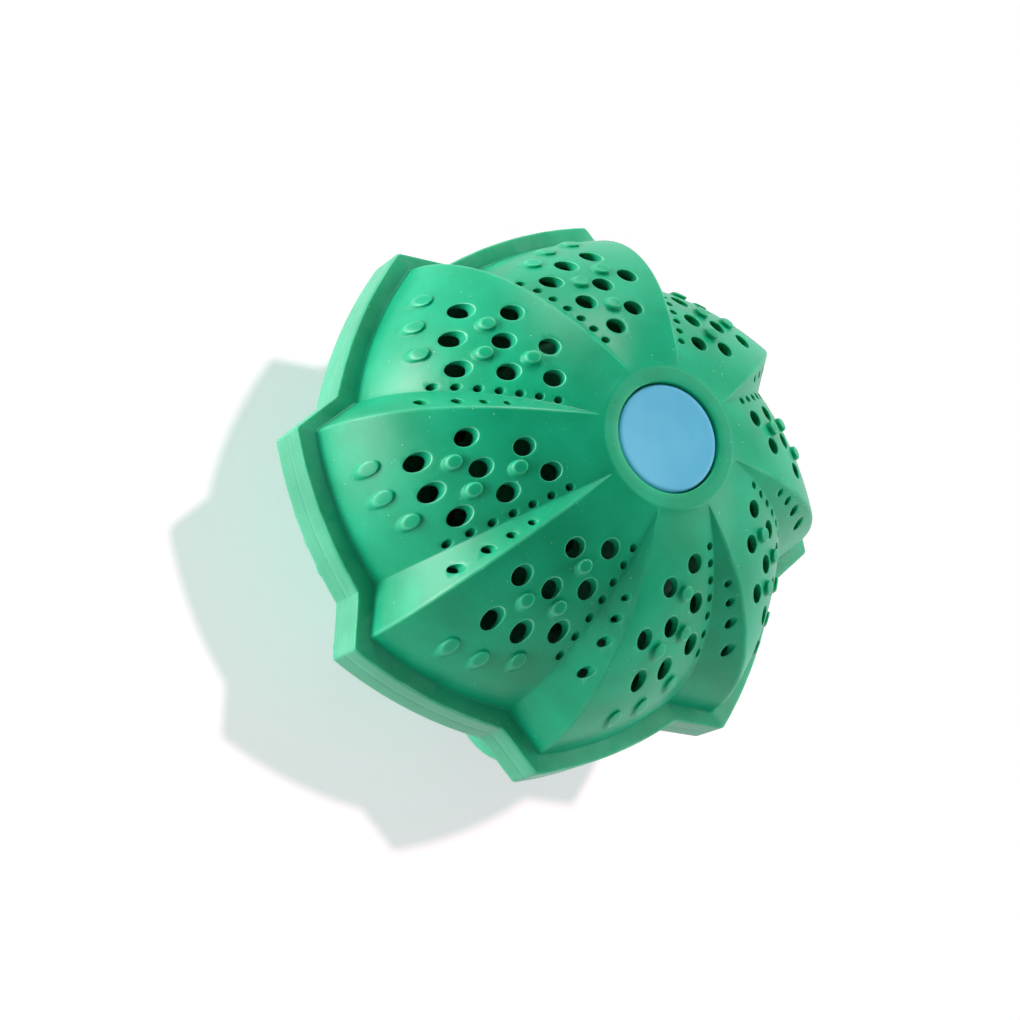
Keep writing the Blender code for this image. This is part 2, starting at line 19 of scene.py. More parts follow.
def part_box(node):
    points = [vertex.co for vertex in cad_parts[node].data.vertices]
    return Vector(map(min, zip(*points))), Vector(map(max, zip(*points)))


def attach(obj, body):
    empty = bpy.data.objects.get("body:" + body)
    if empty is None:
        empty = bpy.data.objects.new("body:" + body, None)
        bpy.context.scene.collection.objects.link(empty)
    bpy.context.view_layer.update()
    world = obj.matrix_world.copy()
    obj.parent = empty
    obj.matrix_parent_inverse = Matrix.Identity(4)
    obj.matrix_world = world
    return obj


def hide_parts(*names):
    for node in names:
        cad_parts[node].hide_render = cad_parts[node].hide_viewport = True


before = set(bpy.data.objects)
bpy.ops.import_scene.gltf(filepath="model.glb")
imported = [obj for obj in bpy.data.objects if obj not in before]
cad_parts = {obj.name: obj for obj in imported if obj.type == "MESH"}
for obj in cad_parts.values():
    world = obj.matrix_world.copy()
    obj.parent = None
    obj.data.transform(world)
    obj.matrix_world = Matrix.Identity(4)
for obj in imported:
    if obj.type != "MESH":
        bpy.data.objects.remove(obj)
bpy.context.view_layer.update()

LOG = logging.getLogger("laundry_ball")
MM = 0.001
# Points nearer than this are merged
WELD = 0.0000004
# Radius given where a ray from the axis meets no face
FAR = 1.0
# Values of the mottle that count as its lowest and its highest
MOTTLE_ENDS = (0.3, 0.7)
Colour = tuple[float, float, float]
Direction = tuple[float, float, float]
Feed = float | tuple[float, ...] | bpy.types.NodeSocket


class Pole(Enum):
    """The two ends of the ball."""

    UPPER = 1
    LOWER = -1

    @property
    def word(self) -> str:
        """Name used in the pieces of this end."""
        return self.name.lower()


# Mesh helpers
def set_shading(mesh: bpy.types.Mesh, crease_deg: float) -> None:
    """Shade a mesh smooth, with its edges sharp past an angle."""
    mesh.shade_smooth()
    mesh.set_sharp_from_angle(angle=math.radians(crease_deg))


def mesh_from(bm: bmesh.types.BMesh, name: str, crease_deg: float = 38.0) -> bpy.types.Mesh:
    """Turn a bmesh into a mesh with merged points and faces that point out.

    Args:
        bm: The bmesh, which is freed.
        name: Name of the mesh.
        crease_deg: Angle past which an edge is sharp.

    Returns:
        The mesh.
    """
    bmesh.ops.remove_doubles(bm, verts=bm.verts, dist=WELD)
    bmesh.ops.dissolve_degenerate(bm, edges=bm.edges, dist=WELD)
    bmesh.ops.recalc_face_normals(bm, faces=bm.faces)
    mesh = bpy.data.meshes.new(name)
    bm.to_mesh(mesh)
    bm.free()
    set_shading(mesh, crease_deg)
    return mesh


def add_object(name: str, mesh: bpy.types.Mesh) -> bpy.types.Object:
    """Link a mesh to the scene as an object.

    Args:
        name: Name of the object.
        mesh: Its mesh.

    Returns:
        The object.
    """
    obj = bpy.data.objects.new(name, mesh)
    bpy.context.scene.collection.objects.link(obj)
    return obj


def combined(base: bpy.types.Mesh, joins: list[bpy.types.Mesh], cuts: list[bpy.types.Mesh],
             name: str, crease_deg: float = 38.0) -> bpy.types.Mesh:
    """Join and cut a mesh with others.

    Args:
        base: The mesh to work on.
        joins: Meshes joined to it first.
        cuts: Meshes taken away from it then.
        name: Name of the result.
        crease_deg: Angle past which an edge is sharp.

    Returns:
        The finished mesh.
    """
    body = add_object(f"{name} body", base)
    helpers = []
    for operation, tools in (("UNION", joins), ("DIFFERENCE", cuts)):
        for tool in tools:
            helper = add_object(f"{name} tool", tool)
            helpers.append(helper)
            modifier = body.modifiers.new(operation.lower(), "BOOLEAN")
            modifier.operation = operation
            modifier.solver = "MANIFOLD"
            modifier.object = helper
    bpy.context.view_layer.update()
    depsgraph = bpy.context.evaluated_depsgraph_get()
    mesh = bpy.data.meshes.new_from_object(body.evaluated_get(depsgraph))
    mesh.name = name
    for helper in [body, *helpers]:
        bpy.data.objects.remove(helper, do_unlink=True)
    bm = bmesh.new()
    bm.from_mesh(mesh)
    bmesh.ops.remove_doubles(bm, verts=bm.verts, dist=2.0 * WELD)
    bmesh.ops.dissolve_degenerate(bm, edges=bm.edges, dist=2.0 * WELD)
    bm.to_mesh(mesh)
    bm.free()
    set_shading(mesh, crease_deg)
    return mesh


def settle_order(bm: bmesh.types.BMesh) -> None:
    """Sort the edges and faces by their vertices, because a spin's order changes from run to run.

    Args:
        bm: The bmesh to sort.
    """
    bm.verts.index_update()
    count = len(bm.verts)

    def rank(part: bmesh.types.BMEdge | bmesh.types.BMFace) -> int:
        """Give a part's rank by its lowest and its highest vertex."""
        numbers = [vert.index for vert in part.verts]
        return min(numbers) * count + max(numbers)

    bm.edges.sort(key=rank)
    bm.faces.sort(key=rank)


def spun_mesh(profile: list[tuple[float, float]], name: str, steps: int = 96) -> bpy.types.Mesh:
    """Spin a profile of radii and heights about the axis.

    Args:
        profile: Points from the top of the axis to the bottom of the axis.
        name: Name of the mesh.
        steps: Number of steps round.

    Returns:
        The closed mesh.
    """
    bm = bmesh.new()
    points = [bm.verts.new((radius, 0.0, height)) for radius, height in profile]
    edges = [bm.edges.new(pair) for pair in zip(points, points[1:])]
    bmesh.ops.spin(bm, geom=points + edges, cent=(0.0, 0.0, 0.0), axis=(0.0, 0.0, 1.0),
                   angle=2.0 * math.pi, steps=steps, use_merge=True)
    settle_order(bm)
    return mesh_from(bm, name)


def rounded_profile(corners: list[tuple[float, float, float]], steps: int = 4) -> list[tuple[float, float]]:
    """Round the corners of a profile.

    Args:
        corners: Radius, height and rounding radius of each corner in turn.
        steps: Number of straight steps round each corner.

    Returns:
        The points of the rounded profile.
    """
    points = []
    places = [Vector(corner[:2]) for corner in corners]
    for index, place in enumerate(places):
        soft = corners[index][2]
        if soft <= 0.0 or index in (0, len(places) - 1):
            points.append(tuple(place))
            continue
        back = (places[index - 1] - place).normalized()
        ahead = (places[index + 1] - place).normalized()
        for step in range(steps + 1):
            share = step / steps
            start = place + back * soft
            end = place + ahead * soft
            bend = start * (1 - share) ** 2 + place * 2 * share * (1 - share) + end * share ** 2
            points.append(tuple(bend))
    return points


def wrapped_grid(bm: bmesh.types.BMesh, rows: list[np.ndarray]) -> list[bmesh.types.BMVert]:
    """Lay a grid over rows of points, each row running once round and ending where it began.

    Args:
        bm: The bmesh to build in.
        rows: The points of each row.

    Returns:
        The grid's vertices.
    """
    columns = len(rows[0]) - 1
    steps = len(rows) - 1
    made = bmesh.ops.create_grid(bm, x_segments=columns, y_segments=steps, size=0.5)["verts"]
    for vert in made:
        vert.co = rows[round((vert.co.y + 0.5) * steps)][round((vert.co.x + 0.5) * columns)]
    return made


def mirrored(mesh: bpy.types.Mesh, name: str) -> bpy.types.Mesh:
    """Copy a mesh to the other side of the parting plane.

    Args:
        mesh: The mesh to copy.
        name: Name of the copy.

    Returns:
        The copy, with its faces pointing out.
    """
    copy = mesh.copy()
    copy.name = name
    copy.transform(Matrix.Diagonal((1.0, 1.0, -1.0, 1.0)))
    copy.flip_normals()
    return copy


def soft_min(one: np.ndarray, two: np.ndarray, width: np.ndarray) -> np.ndarray:
    """Give the smaller of two values, blended where they are nearly the same."""
    near = np.maximum(width - np.abs(one - two), 0.0) / width
    return np.minimum(one, two) - near * near * width * 0.25


def soft_max(one: np.ndarray, two: np.ndarray, width: np.ndarray) -> np.ndarray:
    """Give the larger of two values, blended where they are nearly the same."""
    return -soft_min(-one, -two, width)


def band(value: np.ndarray, middle: float, half: float) -> np.ndarray:
    """Give 1 at the middle of a band of values, falling to 0 at half its width."""
    return np.clip(1.0 - np.abs(middle - value) / half, 0.0, 1.0)


def quarter(steps: int, first: int = 0) -> list[tuple[float, float]]:
    """Give the steps round a quarter circle.

    Args:
        steps: Number of steps in the whole quarter.
        first: The step to begin at.

    Returns:
        One less the sine and one less the cosine of each step's angle.
    """
    turns = [math.radians(90.0 * step / steps) for step in range(first, steps + 1)]
    return [(1 - math.sin(turn), 1 - math.cos(turn)) for turn in turns]


# The petal shape
@dataclass(frozen=True)
class PetalSkin:
    """The skin of eight twisted petals, at a depth below the outer surface.

    A ridge runs over each petal on a quarter ellipse and a valley runs beside it
    on an arc. The broad face turns from a ridge to the next valley and is slightly
    hollow, and the narrow face is straight from a valley to its ridge.
    """

    depth: float = 0.0
    ridge_soft: float = 0.50 * MM
    valley_soft: float = 0.16 * MM
    teeth: int = 8
    flange_top: float = 4.85 * MM
    ridge_foot: float = 48.8 * MM
    valley_foot: float = 42.6 * MM
    valley_lead: float = math.radians(9.3)
    ring_radius: float = 13.05 * MM
    ring_height: float = 43.6 * MM
    meet_lead: float = math.radians(3.9)
    valley_arc: float = 53.7 * MM
    face_hollow: float = 0.6 * MM
    ridge_share: float = 0.34
    valley_share: float = 0.14
    least_step: float = 1e-7
    least_length: float = 1e-6
    least_width: float = 1e-9
    least_turn: float = 0.03
    probe: float = 0.3 * MM
    halvings: int = 30

    @property
    def tooth_angle(self) -> float:
        """Angle from one petal to the next."""
        return 2.0 * math.pi / self.teeth

    @property
    def ridge_axes(self) -> tuple[float, float]:
        """Half axes of the ridge's ellipse at this depth.

        Returns:
            The reach from the axis and the rise over the parting plane.
        """
        base = (self.ridge_foot ** 2, self.flange_top ** 2)
        edge = (self.ring_radius ** 2, self.ring_height ** 2)
        scale = base[0] * edge[1] - base[1] * edge[0]
        reach = math.sqrt(scale / (edge[1] - base[1]))
        rise = math.sqrt(scale / (base[0] - edge[0]))
        return reach - self.depth, rise - self.depth

    @property
    def valley_centre(self) -> tuple[float, float]:
        """Centre of the valley's arc, as distance from the axis and height.

        Returns:
            The distance from the axis and the height.
        """
        start = Vector((self.valley_foot, self.flange_top))
        end = Vector((self.ring_radius, self.ring_height))
        chord = end - start
        normal = Vector((chord.y, -chord.x)).normalized()
        reach = math.sqrt(self.valley_arc ** 2 - chord.length_squared / 4.0)
        centre = (start + end) / 2.0 - normal * reach
        return centre.x, centre.y

    def ridge(self, height: np.ndarray) -> tuple[np.ndarray, np.ndarray]:
        """Give the first ridge's radius and angle at some heights.

        Args:
            height: Heights of the points.

        Returns:
            The radius and the angle at each height.
        """
        reach, rise = self.ridge_axes
        radius = reach * np.sqrt(np.clip(1.0 - (height / rise) ** 2, 0.0, 1.0))
        return self._along(radius, self.ridge_foot, 0.0)

    def valley(self, height: np.ndarray) -> tuple[np.ndarray, np.ndarray]:
        """Give the first valley's radius and angle at some heights.

        Args:
            height: Heights of the points.

        Returns:
            The radius and the angle at each height.
        """
        centre_x, centre_z = self.valley_centre
        arc = self.valley_arc - self.depth
        radius = centre_x + np.sqrt(np.clip(arc ** 2 - (height - centre_z) ** 2, 0.0, None))
        return self._along(radius, self.valley_foot, self.valley_lead)

    def _along(self, radius: np.ndarray, foot: float, lead: float) -> tuple[np.ndarray, np.ndarray]:
        """Give the place on a ridge's or valley's straight line in plan.

        Args:
            radius: Distances from the axis.
            foot: Radius at the foot of the line.
            lead: Angle by which that foot lies before the ridge's foot.

        Returns:
            The radius and the angle of each point.
        """
        share = (foot - radius) / (foot - self.ring_radius)
        x = foot * math.cos(lead) * (1 - share) + self.ring_radius * math.cos(self.meet_lead) * share
        y = -foot * math.sin(lead) * (1 - share) - self.ring_radius * math.sin(self.meet_lead) * share
        return np.hypot(x, y), np.arctan2(y, x)

    def section(self, height: np.ndarray) -> dict[str, np.ndarray]:
        """Give the ridge, the valley and the widths of their rounding at some heights.

        Args:
            height: Heights of the points.

        Returns:
            Radii and angles of the ridge and the valley, and the half angle and the blend
            width of the rounding at each.
        """
        height = np.asarray(height, dtype=float)
        ridge_r, ridge_a = self.ridge(height)
        valley_r, valley_a = self.valley(height)
        step = np.maximum(ridge_r - valley_r, self.least_step)
        narrow = np.maximum((ridge_a - valley_a) * ridge_r, self.least_step)
        broad = (valley_a + self.tooth_angle - ridge_a) * ridge_r
        slopes = step / narrow + step / broad
        ridge_half = np.minimum(self.ridge_soft, self.ridge_share * narrow)
        valley_half = np.minimum(self.valley_soft, self.valley_share * narrow)
        return {
            "ridge_r": ridge_r, "ridge_a": ridge_a, "valley_r": valley_r, "valley_a": valley_a,
            "ridge_half": ridge_half / ridge_r,
            "valley_half": valley_half / np.maximum(valley_r, self.least_length),
            "ridge_width": np.maximum(ridge_half * slopes, self.least_width),
            "valley_width": np.maximum(valley_half * slopes, self.least_width),
        }

    def _broad(self, cut: dict[str, np.ndarray], angle: np.ndarray) -> np.ndarray:
        """Give the broad face's radius at some angles.

        Args:
            cut: The section at the heights of the points.
            angle: Angles of the points about the axis.

        Returns:
            The radius of each point.
        """
        end = cut["valley_a"] + self.tooth_angle
        share = (angle - cut["ridge_a"]) / (end - cut["ridge_a"])
        hollow = self.face_hollow * cut["ridge_r"] / self.ridge_foot
        dip = 4.0 * np.clip(share, 0.0, 1.0) * (1.0 - np.clip(share, 0.0, 1.0))
        return cut["ridge_r"] * (1 - share) + cut["valley_r"] * share - hollow * dip

    def _narrow(self, cut: dict[str, np.ndarray], angle: np.ndarray) -> np.ndarray:
        """Give the narrow face's radius at some angles.

        Args:
            cut: The section at the heights of the points.
            angle: Angles of the points about the axis.

        Returns:
            The radius of each point, or FAR where the face isn't met.
        """
        rx = cut["ridge_r"] * np.cos(cut["ridge_a"])
        ry = cut["ridge_r"] * np.sin(cut["ridge_a"])
        dx = rx - cut["valley_r"] * np.cos(cut["valley_a"])
        dy = ry - cut["valley_r"] * np.sin(cut["valley_a"])
        length = np.hypot(dx, dy)
        turn = (dx * np.sin(angle) - dy * np.cos(angle)) / np.maximum(length, self.least_width)
        reach = (dx * ry - dy * rx) / np.maximum(length, self.least_width)
        limit = -self.least_turn
        radius = np.where(turn < limit, reach / np.minimum(turn, limit), FAR)
        return np.where(length > self.least_length, radius, FAR)

    def radius_at(self, height: np.ndarray, angle: np.ndarray) -> np.ndarray:
        """Give the skin's distance from the axis.

        Args:
            height: Heights of the points.
            angle: Angles of the points about the axis.

        Returns:
            The radius of each point.
        """
        cut = self.section(height)
        turned = np.mod(angle - cut["valley_a"], self.tooth_angle) + cut["valley_a"]
        radius = soft_min(self._narrow(cut, turned), self._broad(cut, turned), cut["ridge_width"])
        middle = (cut["ridge_a"] + cut["valley_a"] + self.tooth_angle) / 2.0
        earlier = np.where(turned < cut["ridge_a"], self._broad(cut, turned + self.tooth_angle), 0.0)
        later = np.where(turned > middle, self._narrow(cut, turned - self.tooth_angle), 0.0)
        later = np.where(later > 0.9 * FAR, 0.0, later)
        radius = soft_max(radius, earlier, cut["valley_width"])
        return soft_max(radius, later, cut["valley_width"])

    def height_over(self, x: np.ndarray, y: np.ndarray) -> np.ndarray:
        """Give the skin's height over some plan places, by halving.

        Args:
            x: Places along X.
            y: Places along Y.

        Returns:
            The height over each place.
        """
        radius = np.hypot(x, y)
        angle = np.arctan2(y, x)
        low = np.full(radius.shape, 0.0)
        high = np.full(radius.shape, self.ring_height - self.depth)
        for _ in range(self.halvings):
            height = (low + high) / 2.0
            inside = self.radius_at(height, angle) > radius
            low = np.where(inside, height, low)
            high = np.where(inside, high, height)
        return (low + high) / 2.0

    def slope(self, x: float, y: float) -> tuple[float, float]:
        """Give how fast the skin rises along X and along Y at a plan place.

        Args:
            x: Place along X.
            y: Place along Y.

        Returns:
            The rise for each metre along X and along Y.
        """
        xs = np.array([x + self.probe, x - self.probe, x, x])
        ys = np.array([y, y, y + self.probe, y - self.probe])
        east, west, north, south = self.height_over(xs, ys)
        return (east - west) / (2 * self.probe), (north - south) / (2 * self.probe)

    def steepness(self, x: float, y: float) -> float:
        """Give how much longer a vertical line through the wall is than a square one."""
        slope_x, slope_y = self.slope(x, y)
        return math.sqrt(1.0 + slope_x ** 2 + slope_y ** 2)


@dataclass(frozen=True)
class FlangeOutline:
    """The toothed outline of the flange, as radius over angle."""

    teeth: int = 8
    tip_radius: float = 52.5 * MM
    notch_radius: float = 46.3 * MM
    notch_lead: float = math.radians(9.3)
    flank_radius: float = 75.9 * MM
    tip_soft: float = 0.45 * MM
    notch_soft: float = 0.25 * MM
    soft_reach: float = 1.2
    least_turn: float = 1e-4

    def _flank(self, angle: np.ndarray) -> np.ndarray:
        """Give the long curved flank's radius at some angles.

        Args:
            angle: Angles of the points about the axis.

        Returns:
            The radius of each point.
        """
        tooth = 2.0 * math.pi / self.teeth
        tip = Vector((self.tip_radius, 0.0))
        end = tooth - self.notch_lead
        notch = Vector((self.notch_radius * math.cos(end), self.notch_radius * math.sin(end)))
        chord = notch - tip
        normal = Vector((-chord.y, chord.x)).normalized()
        centre = (tip + notch) / 2.0 + normal * math.sqrt(self.flank_radius ** 2 - chord.length_squared / 4.0)
        if centre.length > ((tip + notch) - centre).length:
            centre = tip + notch - centre
        toward = centre.x * np.cos(angle) + centre.y * np.sin(angle)
        return toward + np.sqrt(np.maximum(self.flank_radius ** 2 - centre.length_squared + toward ** 2, 0.0))

    def _step(self, angle: np.ndarray) -> np.ndarray:
        """Give the short straight side's radius at some angles.

        Args:
            angle: Angles of the points about the axis.

        Returns:
            The radius of each point, or FAR where the side isn't met.
        """
        dx = self.tip_radius - self.notch_radius * math.cos(self.notch_lead)
        dy = self.notch_radius * math.sin(self.notch_lead)
        turn = dx * np.sin(angle) - dy * np.cos(angle)
        limit = -self.least_turn
        return np.where(turn < limit, -dy * self.tip_radius / np.minimum(turn, limit), FAR)

    def radius_at(self, angle: np.ndarray) -> np.ndarray:
        """Give the outline's distance from the axis at some angles.

        Args:
            angle: Angles of the points about the axis.

        Returns:
            The radius of each point.
        """
        tooth = 2.0 * math.pi / self.teeth
        start = -self.notch_lead
        turned = np.mod(angle - start, tooth) + start
        tip = np.full(np.shape(turned), self.soft_reach * self.tip_soft)
        notch = np.full(np.shape(turned), self.soft_reach * self.notch_soft)
        radius = soft_min(self._step(turned), self._flank(turned), tip)
        earlier = np.where(turned < 0.0, self._flank(turned + tooth), 0.0)
        later = np.where(turned > tooth / 4.0, self._step(turned - tooth), 0.0)
        radius = soft_max(radius, earlier, notch)
        return soft_max(radius, np.where(later > 0.9 * FAR, 0.0, later), notch)


@dataclass(frozen=True)
class Feature:
    """A hole or a boss of one petal.

    Radius and angle give its place in plan, size is its own radius, soft rounds its
    rim and sides counts its sides. Squeeze shortens it along lean, the direction in
    which tilt lowers its top.
    """

    radius: float
    angle: float
    size: float
    soft: float
    sides: int
    squeeze: float = 1.0
    lean: float = 0.0
    tilt: float = 0.0

    @property
    def place(self) -> tuple[float, float]:
        """Plan place of the centre."""
        return self.radius * math.cos(self.angle), self.radius * math.sin(self.angle)


@dataclass(frozen=True)
class PetalLayout:
    """Where the holes and bosses of one petal lie.

    The rows run along a line beside the valley, given by its angle, and the places
    along it are measured from the valley's foot.
    """

    valley_foot: float = 42.6 * MM
    row_angle: float = math.radians(45.0 - 9.3 - 0.7)
    row_offset: float = 3.4 * MM
    row_pitch: float = 5.7 * MM
    hole_pitch: float = 6.28 * MM
    hole_radius: float = 1.58 * MM
    hole_soft: float = 0.20 * MM
    hole_sides: int = 32
    hole_rows: tuple[tuple[int, float, int], ...] = ((0, 8.8, 3), (1, 7.0, 3), (2, 7.2, 2))
    boss_radius: float = 1.34 * MM
    boss_soft: float = 0.42 * MM
    boss_sides: int = 28
    bosses: tuple[tuple[float, float], ...] = (
        (0.5, 11.0), (0.5, 17.3), (1.5, 10.3), (0.5, 3.6), (1.5, 2.3), (2.5, 2.6))
    side_holes: tuple[tuple[float, float, float], ...] = (
        (38.11, -3.45, 0.86), (33.78, -3.49, 0.78), (30.34, -3.56, 0.63), (27.18, -3.64, 0.54))
    side_soft: float = 0.09 * MM
    side_sides: int = 24
    pin_radius: float = 0.66 * MM
    pin_soft: float = 0.08 * MM
    pin_sides: int = 20
    pin_places: tuple[tuple[float, float], ...] = (
        (36.02, 34.78), (33.30, 34.87), (30.58, 35.09), (27.84, 35.31), (25.15, 35.52),
        (22.44, 35.71), (19.73, 36.07))

    def _row_place(self, row: float, inset_mm: float) -> tuple[float, float]:
        """Give the radius and angle of a place by its row and inset.

        Args:
            row: The row, counted out from the valley.
            inset_mm: How far up the row the place lies, in millimetres.

        Returns:
            The radius and the angle of the place.
        """
        along = self.valley_foot - inset_mm * MM
        across = self.row_offset + row * self.row_pitch
        return math.hypot(along, across), self.row_angle - math.atan2(across, along)

    def holes(self) -> list[Feature]:
        """Give every hole of one petal.

        Returns:
            The large holes, then the ones beside the ridge and the fine ones in the valley.
        """
        made = []
        for row, inset, count in self.hole_rows:
            for index in range(count):
                radius, angle = self._row_place(row, inset + index * self.hole_pitch / MM)
                made.append(Feature(radius, angle, self.hole_radius, self.hole_soft, self.hole_sides))
        for radius, angle, size in self.side_holes:
            made.append(Feature(radius * MM, math.radians(angle), size * MM, self.side_soft, self.side_sides))
        for radius, angle in self.pin_places:
            made.append(Feature(radius * MM, math.radians(angle), self.pin_radius, self.pin_soft,
                                self.pin_sides))
        return made

    def pegs(self) -> list[Feature]:
        """Give every boss of one petal.

        Returns:
            The bosses, upright and round.
        """
        made = []
        for row, inset in self.bosses:
            radius, angle = self._row_place(row, inset)
            made.append(Feature(radius, angle, self.boss_radius, self.boss_soft, self.boss_sides))
        return made


@dataclass(frozen=True)
class Spots:
    """Where the vertices of a mesh lie, with the height of the petals' skin over each."""

    x: np.ndarray
    y: np.ndarray
    z: np.ndarray
    over: np.ndarray

    @property
    def radius(self) -> np.ndarray:
        """Distance of each vertex from the axis."""
        return np.hypot(self.x, self.y)

    @property
    def angle(self) -> np.ndarray:
        """Angle of each vertex about the axis."""
        return np.arctan2(self.y, self.x)


@dataclass
class PetalShell:
    """A rubber shell: petal dome, toothed flange and pole ring, with its holes and bosses."""

    skin: PetalSkin = field(default_factory=PetalSkin)
    outline: FlangeOutline = field(default_factory=FlangeOutline)
    layout: PetalLayout = field(default_factory=PetalLayout)
    wall: float = 1.7 * MM
    inner_ridge_soft: float = 1.2 * MM
    inner_valley_soft: float = 0.6 * MM
    pole_height: float = 43.75 * MM
    ring_flat: float = 12.45 * MM
    ring_shares: tuple[float, ...] = (0.5, 0.9, 1.0)
    ring_edge: float = 0.25 * MM
    ring_fall: float = 0.045 * MM
    ring_underside: float = 40.15 * MM
    opening: float = 9.8 * MM
    opening_round: float = 0.25 * MM
    foot_fillet: float = 0.4 * MM
    rim_round: float = 0.45 * MM
    side_heights: tuple[float, ...] = (3.3 * MM, 1.7 * MM)
    parting: float = 0.02 * MM
    parting_round: float = 0.10 * MM
    hole_flare: float = 1.06
    hole_lift: float = 1.2 * MM
    hole_clear: float = 0.012 * MM
    hole_floor: float = 0.2 * MM
    boss_height: float = 1.40 * MM
    boss_proud: float = 0.90 * MM
    boss_limit: float = 1.60 * MM
    boss_squeeze: float = 0.15
    boss_level: float = 0.22
    boss_taper: float = 0.12 * MM
    boss_root: float = 0.18 * MM
    boss_foot: float = 1.1
    boss_depth: float = 0.9 * MM
    boss_sunk: float = 0.01 * MM
    boss_middle: float = 0.5
    boss_crown: float = 0.03 * MM
    # Marks for the pale edges, which are partly scuffing and partly painted highlight
    crest_mark: float = 0.3
    crest_near: float = 0.3 * MM
    rim_band: tuple[float, float] = (0.3, 0.4)
    seam_band: tuple[float, float] = (0.6, 0.5)
    seam_mark: float = 0.5
    flange_near: float = 0.6 * MM
    least_marked: float = 0.12 * MM
    hole_lip: tuple[float, float] = (0.03, 0.45)
    hole_near: float = 4.0
    boss_mark: float = 0.35
    boss_lip: tuple[float, float] = (0.02, 0.7)
    crease_deg: float = 42.0
    dome_rows: int = 46
    inner_rows: int = 18
    column_shares: tuple[int, int, int, int, int] = (2, 6, 6, 26, 2)

    def _columns(self, cut: dict[str, np.ndarray]) -> np.ndarray:
        """Give the angles of one petal's columns at a height.

        Args:
            cut: The skin's section at that height.

        Returns:
            The angles, from one valley to just before the next.
        """
        start = cut["valley_a"]
        end = start + self.skin.tooth_angle
        stops = [start, start + cut["valley_half"], cut["ridge_a"] - cut["ridge_half"],
                 cut["ridge_a"] + cut["ridge_half"], end - cut["valley_half"], end]
        angles = []
        for (low, high), count in zip(zip(stops, stops[1:]), self.column_shares):
            for step in range(count):
                angles.append(low + (high - low) * step / count)
        return np.stack(angles)

    def _ring_of(self, radius: np.ndarray, angle: np.ndarray, height: float) -> np.ndarray:
        """Repeat one petal's points on every petal.

        Args:
            radius: Radii of the petal's points.
            angle: Their angles.
            height: Their height.

        Returns:
            The points once round, ending where they began.
        """
        turns = np.arange(self.skin.teeth + 1) * self.skin.tooth_angle
        full_a = (angle[None, :] + turns[:, None]).reshape(-1)
        full_r = np.tile(radius, self.skin.teeth + 1)
        count = self.skin.teeth * len(angle) + 1
        full_a, full_r = full_a[:count], full_r[:count]
        return np.stack([full_r * np.cos(full_a), full_r * np.sin(full_a), np.full(count, height)], axis=-1)

    def _skin_row(self, skin: PetalSkin, height: float) -> tuple[np.ndarray, np.ndarray]:
        """Give one petal's points at a height.

        Args:
            skin: The outer or the inner skin.
            height: The height.

        Returns:
            Their radii and their angles.
        """
        angles = self._columns(skin.section(np.array(height)))
        heights = np.full(angles.shape, height)
        return skin.radius_at(heights, angles), angles

    def _rows(self) -> list[np.ndarray]:
        """Give every row of the closed wall, outside and then inside.

        Returns:
            The rows, from the opening's foot round the wall and back to it.
        """
        top_a = self._skin_row(self.skin, self.skin.ring_height)[1]
        flat = np.ones_like(top_a)
        soft = self.opening_round
        rows = [self._ring_of(flat * self.opening, top_a, self.ring_underside)]
        for drop, outward in quarter(3):
            rows.append(self._ring_of(flat * (self.opening + soft * outward), top_a,
                                      self.pole_height - soft * drop))
        for share in self.ring_shares:
            radius = self.opening + soft + (self.ring_flat - self.opening - soft) * share
            rows.append(self._ring_of(flat * radius, top_a, self.pole_height))
        rows.append(self._ring_of(flat * (self.ring_flat + self.ring_edge), top_a,
                                  self.pole_height - self.ring_fall))
        foot = self.skin.flange_top + self.foot_fillet
        rows += self._arc_rows(self.skin, self.skin.ring_height, foot, self.dome_rows)
        rows += self._flange_rows()
        inner = PetalSkin(depth=self.wall, ridge_soft=self.inner_ridge_soft,
                          valley_soft=self.inner_valley_soft)
        rows += self._arc_rows(inner, self.parting, self.ring_underside, self.inner_rows)
        rows.append(rows[0])
        return rows

    def _arc_rows(self, skin: PetalSkin, start: float, end: float, count: int) -> list[np.ndarray]:
        """Give the rows along a skin, evenly spaced on the ridge's curve.

        Args:
            skin: The outer or the inner skin.
            start: Height of the first row.
            end: Height of the last row.
            count: Number of steps between them.

        Returns:
            The rows.
        """
        rise = skin.ridge_axes[1]
        first = math.asin(start / rise)
        last = math.asin(end / rise)
        rows = []
        for step in range(count + 1):
            height = rise * math.sin(first + (last - first) * step / count)
            radius, angle = self._skin_row(skin, height)
            rows.append(self._ring_of(radius, angle, height))
        return rows

    def _flange_rows(self) -> list[np.ndarray]:
        """Give the rows of the fillet at the dome's foot, the ledge and the flange's side.

        Returns:
            The rows, from the dome to the parting plane.
        """
        top = self.skin.flange_top
        edge_a = self._columns(self.skin.section(np.array(top)))
        edge = self._ring_of(self.outline.radius_at(edge_a), edge_a, top)
        foot = self._ring_of(*self._skin_row(self.skin, top), top)
        across = edge[:, :2] - foot[:, :2]
        across /= np.linalg.norm(across, axis=1)[:, None]
        rows = []
        for lift, outward in quarter(4, 1):
            height = top + self.foot_fillet * lift
            row = self._ring_of(*self._skin_row(self.skin, height), height)
            row[:, :2] += across * self.foot_fillet * outward
            rows.append(row)
        rows += [self._edge_row(edge, across, inset, top - drop)
                 for inset, drop in self._round_steps(self.rim_round)]
        rows += [self._edge_row(edge, across, 0.0, height) for height in self.side_heights]
        rows += [self._edge_row(edge, across, inset, self.parting + drop)
                 for inset, drop in reversed(self._round_steps(self.parting_round))]
        return rows

